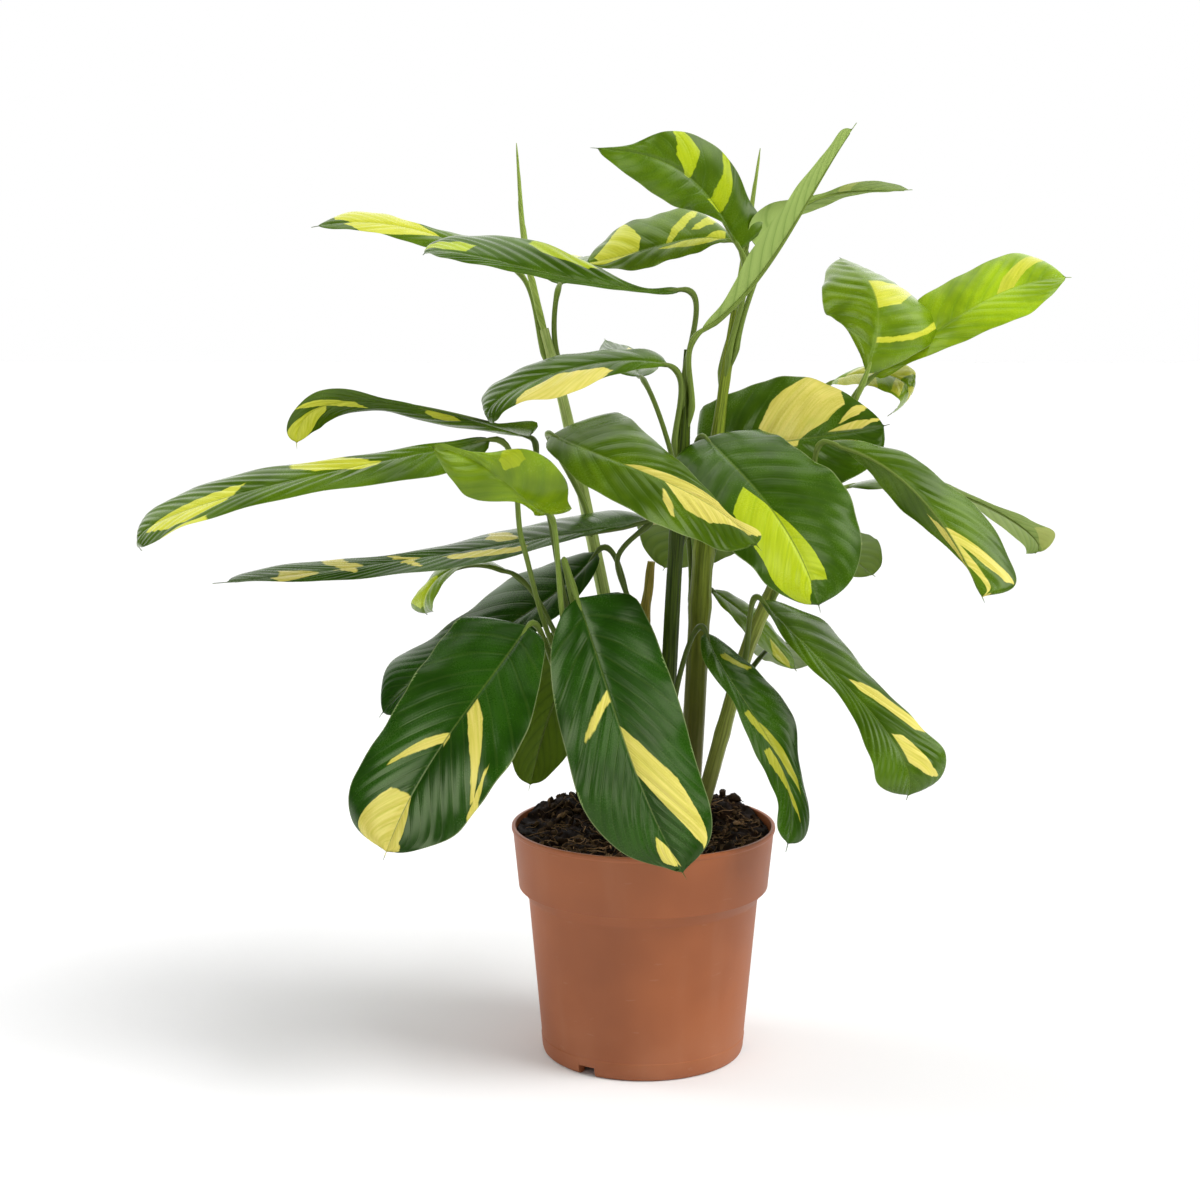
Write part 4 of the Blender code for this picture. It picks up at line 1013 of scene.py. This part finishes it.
def leaf_finish_group():
    """Colour, roughness and relief of a blade from its veins and patches, above and below, with painted shade
    of its pleats.
    """
    net, (along, across, above, pleats, patch, green, cream, underside), leave = new_group(
        "Leaf finish", ["Along", "Across", "Above", "Pleats", "Patch"], ["Green", "Cream", "Underside"])
    away = net.math("ABSOLUTE", across)
    veins = net.group("Side veins", Along=along, Across=across, Pleats=pleats)
    bend = net.times(net.times_plus(away, away, away), 0.7)
    narrow = net.math("POWER", net.minus(1.0, along, clamp=True), bend)
    pleat, vein = veins["Pleat"], net.times(veins["Vein"], narrow)
    fine = net.times(veins["Fine"], net.times(narrow, narrow))
    place = net.place()
    cloud, speck = net.noise(place, 28.0, 3.0), net.noise(place, 900.0)
    streak = net.stretched_noise((along, 70.0), (across, 2.0), detail=3.0)

    green = net.tinted(green, net.mix(net.span(cloud, 0.3, 0.7), (0.62, 0.66, 0.6), (1.25, 1.2, 1.3)))
    # Painted light and shade of the pleats: a lighter green goes on the pleat ridges halfway between the side
    # veins, so the veins stay darker. The same lighter green also picks out the random streaks.
    lighter = net.tinted(green, (1.5, 1.3, 1.4))
    green = net.mix(net.times(pleat, 0.4), green, lighter)
    green = net.touched(green, lighter, 0.4, streak, 0.35, 0.75)
    green = net.mix(net.times(vein, 0.3), green, net.mix(0.12, green, (0.3, 0.42, 0.08)))

    light = net.tinted(cream, net.mix(net.span(streak, 0.3, 0.7), (0.86, 0.88, 0.62), (1.06, 1.04, 1.15)))
    tinge = net.tinted(light, (0.72, 0.86, 0.42))
    light = net.mix(net.times(vein, 0.2), light, tinge)
    light = net.touched(light, tinge, 0.5, cloud, 0.58, 0.75)

    rib_edge = net.times_plus(along, -0.014, 0.023)
    rib = net.span(net.math("DIVIDE", away, rib_edge), 0.45, 1.15, 1.0, 0.0)
    top = net.mix(patch, green, light)
    top = net.mix(net.times(rib, 0.7), top, net.mix(0.16, green, (0.4, 0.5, 0.1)))
    top = net.touched(top, (0.4, 0.46, 0.2), 0.35, away, 0.975, 0.995)

    # Painted light and shade of the pleats on the lower side: lighter halfway between the side veins.
    under = net.mix(net.times(pleat, 0.5), underside, net.tinted(underside, (1.25, 1.2, 1.3)))
    under = net.mix(net.times(vein, 0.6), under, net.tinted(underside, (0.6, 0.68, 0.5)))
    under_cream = net.mix(0.3, net.mix(0.35, cream, (0.6, 0.66, 0.4)), under)
    under = net.mix(net.times(patch, 0.85), under, under_cream)

    gloss = net.times_plus(cloud, 0.18, net.times_plus(speck, 0.1, 0.12))
    height = net.times(fine, -0.35)
    for value, depth in ((vein, -0.9), (speck, 0.08), (cloud, 0.8)):
        height = net.times_plus(value, depth, height)
    leave(Colour=net.mix(above, under, top), Height=height,
          Roughness=net.times_plus(net.minus(1.0, above), 0.26, gloss))


def stem_finish_group():
    """Lengthwise streaks, small specks and a browned foot, from the coordinates along and round a
    stem."""
    net, (along, around, foot, light, dark, browned), leave = new_group(
        "Stem finish", ["Along", "Around", "Foot"], ["Light", "Dark", "Browned"])
    turn = net.times(around, TAU)
    ring = net.join(net.math("COSINE", turn), net.math("SINE", turn), net.times(along, 0.06))
    streak, fine = net.noise(ring, 5.0, 4.0, 0.6), net.noise(ring, 22.0)
    place = net.place()
    cloud, speck = net.noise(place, 35.0, 3.0), net.noise(place, 700.0)
    colour = net.mix(net.span(streak, 0.32, 0.68), dark, light)
    colour = net.touched(colour, net.tinted(colour, (1.5, 1.4, 1.6)), 0.35, fine, 0.45, 0.7)
    colour = net.touched(colour, dark, 0.4, cloud, 0.55, 0.8)
    colour = net.mix(net.times(foot, net.span(streak, 0.2, 0.6, 0.45, 1.0)), colour, browned)
    leave(Colour=net.touched(colour, browned, 0.25, speck, 0.62, 0.72),
          Roughness=net.times_plus(streak, 0.25, 0.28),
          Height=net.times_plus(fine, 0.6, net.times(streak, 0.8)))


def peat_group():
    """Dark grains and pale fibres of peat: the tone runs from wet peat at 0 to dry straw at 1."""
    net, (tone, wet, dry), leave = new_group("Peat", ["Tone"], ["Wet", "Dry"])
    place = net.place()
    grain, clod = net.noise(place, 420.0, 5.0, 0.65), net.noise(place, 90.0, 4.0, 0.6)
    colour = net.mix(net.span(clod, 0.35, 0.75), wet, net.tinted(wet, (3.6, 3.0, 2.4)))
    colour = net.touched(colour, dry, 0.3, grain, 0.62, 0.76)
    leave(Colour=net.mix(net.times(tone, net.span(grain, 0.2, 0.6, 0.6, 1.0)), colour, dry),
          Roughness=net.times_plus(grain, 0.3, 0.62), Height=net.plus(grain, clod))


def moulded_group():
    """Moulded plastic: flow streaks round and up the wall, a fine grain, scuffs, and dust low down."""
    net, (plastic, dust), leave = new_group("Moulded plastic", [], ["Plastic", "Dust"])
    place = net.place()
    x, y, z = net.split(place)
    turn = net.math("ARCTAN2", y, x)
    flow = net.stretched_noise((turn, 3.0), 0.0, (z, 9.0), detail=4.0)
    scuff = net.stretched_noise((turn, 5.0), 0.0, (z, 260.0), detail=3.0)
    cloud, grain = net.noise(place, 14.0, 3.0), net.noise(place, 1400.0)
    colour = net.tinted(plastic, net.mix(net.span(cloud, 0.3, 0.7), (0.9, 0.88, 0.86), (1.1, 1.12, 1.14)))
    colour = net.touched(colour, dust, 0.06, flow, 0.5, 0.8)
    low = net.times(net.span(z, 0.0, 0.05, 1.0, 0.0), net.span(cloud, 0.35, 0.65))
    colour = net.mix(net.times(low, 0.1), colour, dust)
    leave(Colour=net.touched(colour, dust, 0.1, scuff, 0.66, 0.74),
          Roughness=net.times_plus(grain, 0.12, net.times_plus(cloud, 0.12, 0.4)),
          Height=net.times_plus(scuff, 0.3, grain))


# Tints of the sheen: on leaves, petioles and stems, and on the rest.
WAXY = (0.9, 1.0, 0.66)
PLAIN = (1, 1, 1)


def finish_material(name, outputs_of, specular=0.5, bump=0.0001, strength=0.6, tint=WAXY):
    """Material with one Principled shader: outputs_of(net) gives its colour, roughness and height."""
    mat = bpy.data.materials.new(name)
    mat.use_nodes = True
    net = Net(mat.node_tree)
    outputs = outputs_of(net)
    relief = net.add("Bump", {"Height": outputs["Height"], "Distance": bump, "Strength": strength})
    inputs = mat.node_tree.nodes["Principled BSDF"].inputs
    for label, value in {
        "Base Color": outputs["Colour"], "Roughness": outputs["Roughness"], "Normal": relief.outputs[0],
        "Specular IOR Level": specular, "Specular Tint": tint,
    }.items():
        net.put(inputs[label], value)
    return mat


def leaf_material(name, leaf, colours):
    deep, young = np.array(colours.deep_green), np.array(colours.young_green)

    def outputs_of(net):
        along, across, above = net.pattern()
        patch = 0.0
        for places in leaf["patches"]:
            places = np.reshape(places, (-1, 3)) / 1000
            for first, last in zip(places, places[1:]):
                mask = net.group(
                    "Cream patch", Along=along, Across=across, First=first[0], First_Start=first[1],
                    First_End=first[2], Last=last[0], Last_Start=last[1], Last_End=last[2])["Mask"]
                patch = net.plus(patch, mask, clamp=True)
        return net.group(
            "Leaf finish", Along=along, Across=across, Above=above, Pleats=leaf["pleats"], Patch=patch,
            Green=deep + (young - deep) * leaf["youth"], Cream=getattr(colours, leaf["cream"]),
            Underside=getattr(colours, leaf["under"] + "_under"))

    return finish_material(name + " blade", outputs_of, specular=0.4, bump=0.00012, strength=0.5)


def petiole_material(colours):
    def outputs_of(net):
        along, around, tone = net.pattern()
        light = net.mix(tone, colours.petiole_dark, colours.petiole_light)
        return net.group("Stem finish", Along=along, Around=around, Light=light,
                         Dark=net.tinted(light, (0.5, 0.55, 0.4)), Browned=colours.browned)

    return finish_material("petiole", outputs_of, specular=0.3)


def stem_material(name, light, dark, foot, colours):
    def outputs_of(net):
        along, around, height = net.pattern()
        return net.group("Stem finish", Along=along, Around=around, Foot=net.span(height, *foot, 1.0, 0.0),
                         Light=light, Dark=dark, Browned=colours.browned)

    return finish_material(name, outputs_of, specular=0.25, bump=0.00025)


# Light and dark streak of each cane finish, and the heights in centimetres over which its foot is browned.
CANE_FINISHES = {
    "dark cane": ((0.06, 0.1, 0.004), (0.01, 0.022, 0.001), (13, 22)),
    "olive cane": ((0.25, 0.33, 0.03), (0.08, 0.115, 0.008), (15, 40)),
    "brown cane": ((0.36, 0.42, 0.08), (0.16, 0.19, 0.035), (14, 23)),
    "pale cane": ((0.42, 0.5, 0.16), (0.2, 0.28, 0.06), (14, 26)),
    "shoot": ((0.16, 0.24, 0.03), (0.05, 0.09, 0.01), (14, 26)),
    "dried stem": ((0.34, 0.26, 0.05), (0.16, 0.15, 0.015), (14, 20)),
}


# Stage
FLOOR_HALF = 9.0
FLOOR_DROP = 0.0002  # keeps the floor clear of the pot's foot
CAMERA_PLACE = (-0.028, -1.408, 0.5165)
CAMERA_PITCH = 8.9  # degrees down from level
SENSOR_WIDTH = 36.0
REFLECTED_LIGHT = 0.04  # what reflections show away from the windows

# Soft windows that only reflections show: the way to each, the cosines from that way at which it
# fades out and is full, and its strength.
SOFT_WINDOWS = (
    ((-0.05, 0.8, 0.6), 0.55, 0.9, 1.6),
    ((0.0, 0.1, 0.995), 0.92, 0.99, 0.9),
    ((0.85, 0.15, 0.5), 0.93, 0.98, 3.0),
    ((0.45, -0.75, 0.48), 0.95, 0.985, 3.0),
    ((0.03, -0.97, 0.24), 0.975, 0.995, 4.0),
    ((-0.62, -0.6, 0.5), 0.92, 0.98, 4.5),
)


def colour_property(name, description, default):
    return bpy.props.FloatVectorProperty(
        name=name, description=description, default=default, size=3, min=0, max=1, subtype="COLOR")


def number(name, description, default, **limits):
    return bpy.props.FloatProperty(name=name, description=description, default=default, **limits)


class PotSettings(bpy.types.PropertyGroup):
    plastic: colour_property("Plastic", "Colour of the moulded pot", (0.3, 0.088, 0.027))
    dust: colour_property("Dust", "Colour of the dust and scuffs on the pot", (0.5, 0.3, 0.2))


class SoilSettings(bpy.types.PropertyGroup):
    wet: colour_property("Wet peat", "Colour of the dark peat", (0.0035, 0.0016, 0.0008))
    dry: colour_property("Dry fibres", "Colour of the straw and dry fibres", (0.33, 0.2, 0.1))
    crumbs: bpy.props.IntProperty(name="Crumbs", description="Number of loose lumps", default=700, min=1)
    fibres: bpy.props.IntProperty(name="Fibres", description="Number of loose fibres", default=420, min=3)
    seed: bpy.props.IntProperty(name="Seed", description="Scatter of the lumps and fibres", default=7)


class StemSettings(bpy.types.PropertyGroup):
    rib_depth: number("Rib depth", "Depth of the lengthwise ribs in millimetres", 0.16, min=0)
    browned: colour_property("Browned", "Colour of the aged foot of a stem", (0.09, 0.078, 0.014))
    petiole_light: colour_property("Light petiole", "Colour of the brightest petioles", (0.3, 0.42, 0.07))
    petiole_dark: colour_property("Dark petiole", "Colour of the darkest petioles", (0.05, 0.075, 0.015))


class LeafSettings(bpy.types.PropertyGroup):
    thickness: number("Thickness", "Thickness of a blade in millimetres", 0.5, min=0.1)
    pleat_spacing: number("Pleat spacing", "Millimetres from one side vein to the next", 12.0, min=2)
    relief: number("Pleat depth", "Depth of the pleats in millimetres", 0.3, min=0)
    wave: number("Margin wave", "Height of the waves of the margin in millimetres", 1.0, min=0)
    drip: number("Drip tip", "Part of the blade at which its drip tip starts", 0.965, min=0.8, max=1,
                 subtype="FACTOR")
    deep_green: colour_property("Deep green", "Upper side of the oldest leaves", (0.0115, 0.053, 0.001))
    young_green: colour_property("Young green", "Upper side of the youngest leaves", (0.24, 0.4, 0.005))
    grey_under: colour_property("Underside", "Lower side of most leaves", (0.15, 0.22, 0.07))
    # Painted light: the pale underside is brighter than the others, standing for light shining through the
    # top leaves and the sheen on them.
    pale_under: colour_property("Pale underside", "Lower side of the top leaves", (0.27, 0.38, 0.09))
    olive_under: colour_property("Olive underside", "Lower side of the shaded leaves", (0.09, 0.16, 0.003))
    cream: colour_property("Cream", "Patches of the grown leaves", (0.68, 0.6, 0.13))
    yellow: colour_property("Yellow", "Patches of the lighter leaves", (0.58, 0.6, 0.05))
    lime: colour_property("Lime", "Patches of the greenest leaves", (0.4, 0.5, 0.01))
    # Painted shade: a cream darkened for the patches of the low leaves that hang in the shade of the others.
    shade_darkened_cream: colour_property("Dull patch", "Patches of the leaves that hang in the shade", (0.34, 0.34, 0.03))


class StageSettings(bpy.types.PropertyGroup):
    floor: colour_property("Floor", "Colour of the floor", (0.86, 0.86, 0.86))
    key: number("Key light", "Strength of the soft key light", 2.85, min=0)
    key_size: number("Key size", "Width of the key light as an angle", 0.65, subtype="ANGLE")
    side: number("Side light", "Power of the side light", 10, unit="POWER")
    surround: number("Surround", "Strength of the light from all round", 0.55, min=0)
    lens: number("Lens", "Focal length of the camera", 67.2, unit="CAMERA")


class CTENANTHE_OT_pot(bpy.types.Operator):
    """Add the moulded pot"""

    bl_idname = "ctenanthe.pot"
    bl_label = "Pot"

    def execute(self, context):
        settings = context.scene.ctenanthe_pot
        moulded_group()

        def outputs_of(net):
            return net.group("Moulded plastic", Plastic=settings.plastic, Dust=settings.dust)

        plastic = finish_material("moulded plastic", outputs_of, 0.4, bump=0.00006, strength=0.5, tint=PLAIN)
        add_piece("moulded_pot", pot_shell(), [plastic], ["pot"])
        return {"FINISHED"}


class CTENANTHE_OT_soil(bpy.types.Operator):
    """Add the peat with its lumps and fibres"""

    bl_idname = "ctenanthe.soil"
    bl_label = "Peat"

    def execute(self, context):
        settings = context.scene.ctenanthe_soil
        peat_group()

        def outputs_of(net):
            return net.group("Peat", Tone=net.pattern()[2], Wet=settings.wet, Dry=settings.dry)

        peat = finish_material("peat", outputs_of, 0.1, bump=0.0006, strength=0.8, tint=PLAIN)
        add_piece("peat", soil_shell(settings), [peat], ["soil"])
        return {"FINISHED"}


class CTENANTHE_OT_stems(bpy.types.Operator):
    """Add the canes, the leafy shoot and the cut stem"""

    bl_idname = "ctenanthe.stems"
    bl_label = "Stems"

    def execute(self, context):
        settings = context.scene.ctenanthe_stems
        stem_finish_group()
        for name, (_, _, finish) in STEMS.items():
            mat = stem_material(finish, *CANE_FINISHES[finish], settings)
            add_piece(name + "_ribbed", stem_shell(name, settings), [mat], [name])
        return {"FINISHED"}


class CTENANTHE_OT_new_leaves(bpy.types.Operator):
    """Add the rolled new leaves"""

    bl_idname = "ctenanthe.new_leaves"
    bl_label = "Rolled new leaves"

    def execute(self, context):
        colours = context.scene.ctenanthe_stems
        mat = stem_material("rolled leaf", (0.36, 0.46, 0.1), (0.16, 0.25, 0.03), (-2, -1), colours)
        for name in NEW_LEAVES:
            add_piece(name + "_rolled", new_leaf_shell(name), [mat], [name])
        return {"FINISHED"}


class CTENANTHE_OT_leaves(bpy.types.Operator):
    """Add the leaf blades with their petioles"""

    bl_idname = "ctenanthe.leaves"
    bl_label = "Leaves"

    def execute(self, context):
        settings = context.scene.ctenanthe_leaves
        side_vein_group()
        cream_patch_group()
        leaf_finish_group()
        stalk = petiole_material(context.scene.ctenanthe_stems)
        shared = ("thickness", "pleat_spacing", "relief", "wave", "drip")
        shared = {key: getattr(settings, key) for key in shared}
        for seed, (name, leaf) in enumerate(LEAVES.items()):
            name, leaf = "leaf_" + name, {**leaf, **shared}
            shell = joined([*blade_faces(leaf, seed), petiole_shell(leaf)])
            add_piece(name + "_blade", shell, [leaf_material(name, leaf, settings), stalk], [name])
        return {"FINISHED"}


class CTENANTHE_OT_stage(bpy.types.Operator):
    """Add the floor, the lights and the camera"""

    bl_idname = "ctenanthe.stage"
    bl_label = "Stage"

    def execute(self, context):
        settings = context.scene.ctenanthe_stage
        scene = context.scene
        steps = np.linspace(-FLOOR_HALF, FLOOR_HALF, 7)
        x, y = np.meshgrid(steps, steps, indexing="xy")
        points = np.stack([x, y, np.full_like(x, -FLOOR_DROP)], axis=2).reshape(-1, 3)
        faces = grid_corners(np.arange(x.size).reshape(x.shape))
        mesh = bpy.data.meshes.new("floor")
        mesh.from_pydata(points.tolist(), [], faces.tolist())
        floor = bpy.data.objects.new("floor", mesh)
        scene.collection.objects.link(floor)
        mat = bpy.data.materials.new("pale floor")
        mat.use_nodes = True
        shader = mat.node_tree.nodes["Principled BSDF"]
        shader.inputs["Base Color"].default_value = (*settings.floor, 1)
        shader.inputs["Roughness"].default_value = 0.9
        shader.inputs["Specular IOR Level"].default_value = 0.1
        mesh.materials.append(mat)

        world = bpy.data.worlds.new("white surround")
        world.use_nodes = True
        net = Net(world.node_tree)
        backdrop = world.node_tree.nodes["Background"]
        backdrop.inputs["Color"].default_value = (1, 1, 1, 1)
        way = net.add("TexCoord").outputs["Generated"]

        sheen = REFLECTED_LIGHT
        for aim, edge, full, strength in SOFT_WINDOWS:
            facing = net.add("VectorMath", {0: way, 1: aim}, operation="DOT_PRODUCT").outputs["Value"]
            sheen = net.plus(net.span(facing, edge, full, 0.0, strength), sheen)
        rays = net.add("LightPath").outputs
        even = net.times(settings.surround, net.minus(1.0, rays["Is Glossy Ray"]))
        strength = net.times_plus(sheen, rays["Is Glossy Ray"], even)
        light = net.add("Background", {"Color": (1, 1, 1), "Strength": strength})
        both = net.add("MixShader", {0: rays["Is Camera Ray"], 1: light.outputs[0], 2: backdrop.outputs[0]})
        net.put(world.node_tree.nodes["World Output"].inputs["Surface"], both.outputs[0])
        scene.world = world

        def lamp(name, kind, place, aim, **values):
            data = bpy.data.lights.new(name, kind)
            for key, value in values.items():
                setattr(data, key, value)
            obj = bpy.data.objects.new(name, data)
            obj.location = place
            obj.rotation_euler = (Vector(aim) - Vector(place)).to_track_quat("-Z", "Y").to_euler()
            obj.visible_glossy = False
            scene.collection.objects.link(obj)

        lamp("key", "SUN", (1.3, -0.5, 1.5), (0, 0, 0), energy=settings.key, angle=settings.key_size)
        lamp("side", "AREA", (-1.5, 0.5, 0.8), (0, 0, 0.25), energy=settings.side, size=0.8)

        data = bpy.data.cameras.new("camera")
        data.lens, data.sensor_width = settings.lens, SENSOR_WIDTH
        camera = bpy.data.objects.new("camera", data)
        camera.location = CAMERA_PLACE
        camera.rotation_euler = (math.radians(90 - CAMERA_PITCH), 0, 0)
        scene.collection.objects.link(camera)
        scene.camera = camera
        scene.view_settings.view_transform = "Standard"
        return {"FINISHED"}


class CTENANTHE_PT_panel(bpy.types.Panel):
    bl_label = "Potted Ctenanthe"
    bl_idname = "CTENANTHE_PT_panel"
    bl_space_type = "VIEW_3D"
    bl_region_type = "UI"
    bl_category = "Ctenanthe"

    def draw(self, context):
        for prop, operators in PANEL_ROWS.items():
            box = self.layout.box()
            for operator in operators:
                box.operator(operator.bl_idname)
            settings = getattr(context.scene, prop)
            for key in settings.__annotations__:
                box.prop(settings, key)


SETTINGS = {
    "ctenanthe_pot": PotSettings,
    "ctenanthe_soil": SoilSettings,
    "ctenanthe_stems": StemSettings,
    "ctenanthe_leaves": LeafSettings,
    "ctenanthe_stage": StageSettings,
}
PANEL_ROWS = {
    "ctenanthe_pot": (CTENANTHE_OT_pot,),
    "ctenanthe_soil": (CTENANTHE_OT_soil,),
    "ctenanthe_stems": (CTENANTHE_OT_stems, CTENANTHE_OT_new_leaves),
    "ctenanthe_leaves": (CTENANTHE_OT_leaves,),
    "ctenanthe_stage": (CTENANTHE_OT_stage,),
}
OPERATORS = [operator for row in PANEL_ROWS.values() for operator in row]


def register():
    for cls in (*SETTINGS.values(), *OPERATORS, CTENANTHE_PT_panel):
        bpy.utils.register_class(cls)
    for prop, cls in SETTINGS.items():
        setattr(bpy.types.Scene, prop, bpy.props.PointerProperty(type=cls))


def unregister():
    for prop in SETTINGS:
        delattr(bpy.types.Scene, prop)
    for cls in reversed((*SETTINGS.values(), *OPERATORS, CTENANTHE_PT_panel)):
        bpy.utils.unregister_class(cls)


def main():
    register()
    bpy.ops.ctenanthe.pot()
    bpy.ops.ctenanthe.soil()
    bpy.ops.ctenanthe.stems()
    bpy.ops.ctenanthe.new_leaves()
    bpy.ops.ctenanthe.leaves()
    bpy.ops.ctenanthe.stage()


if __name__ == "__main__":
    main()
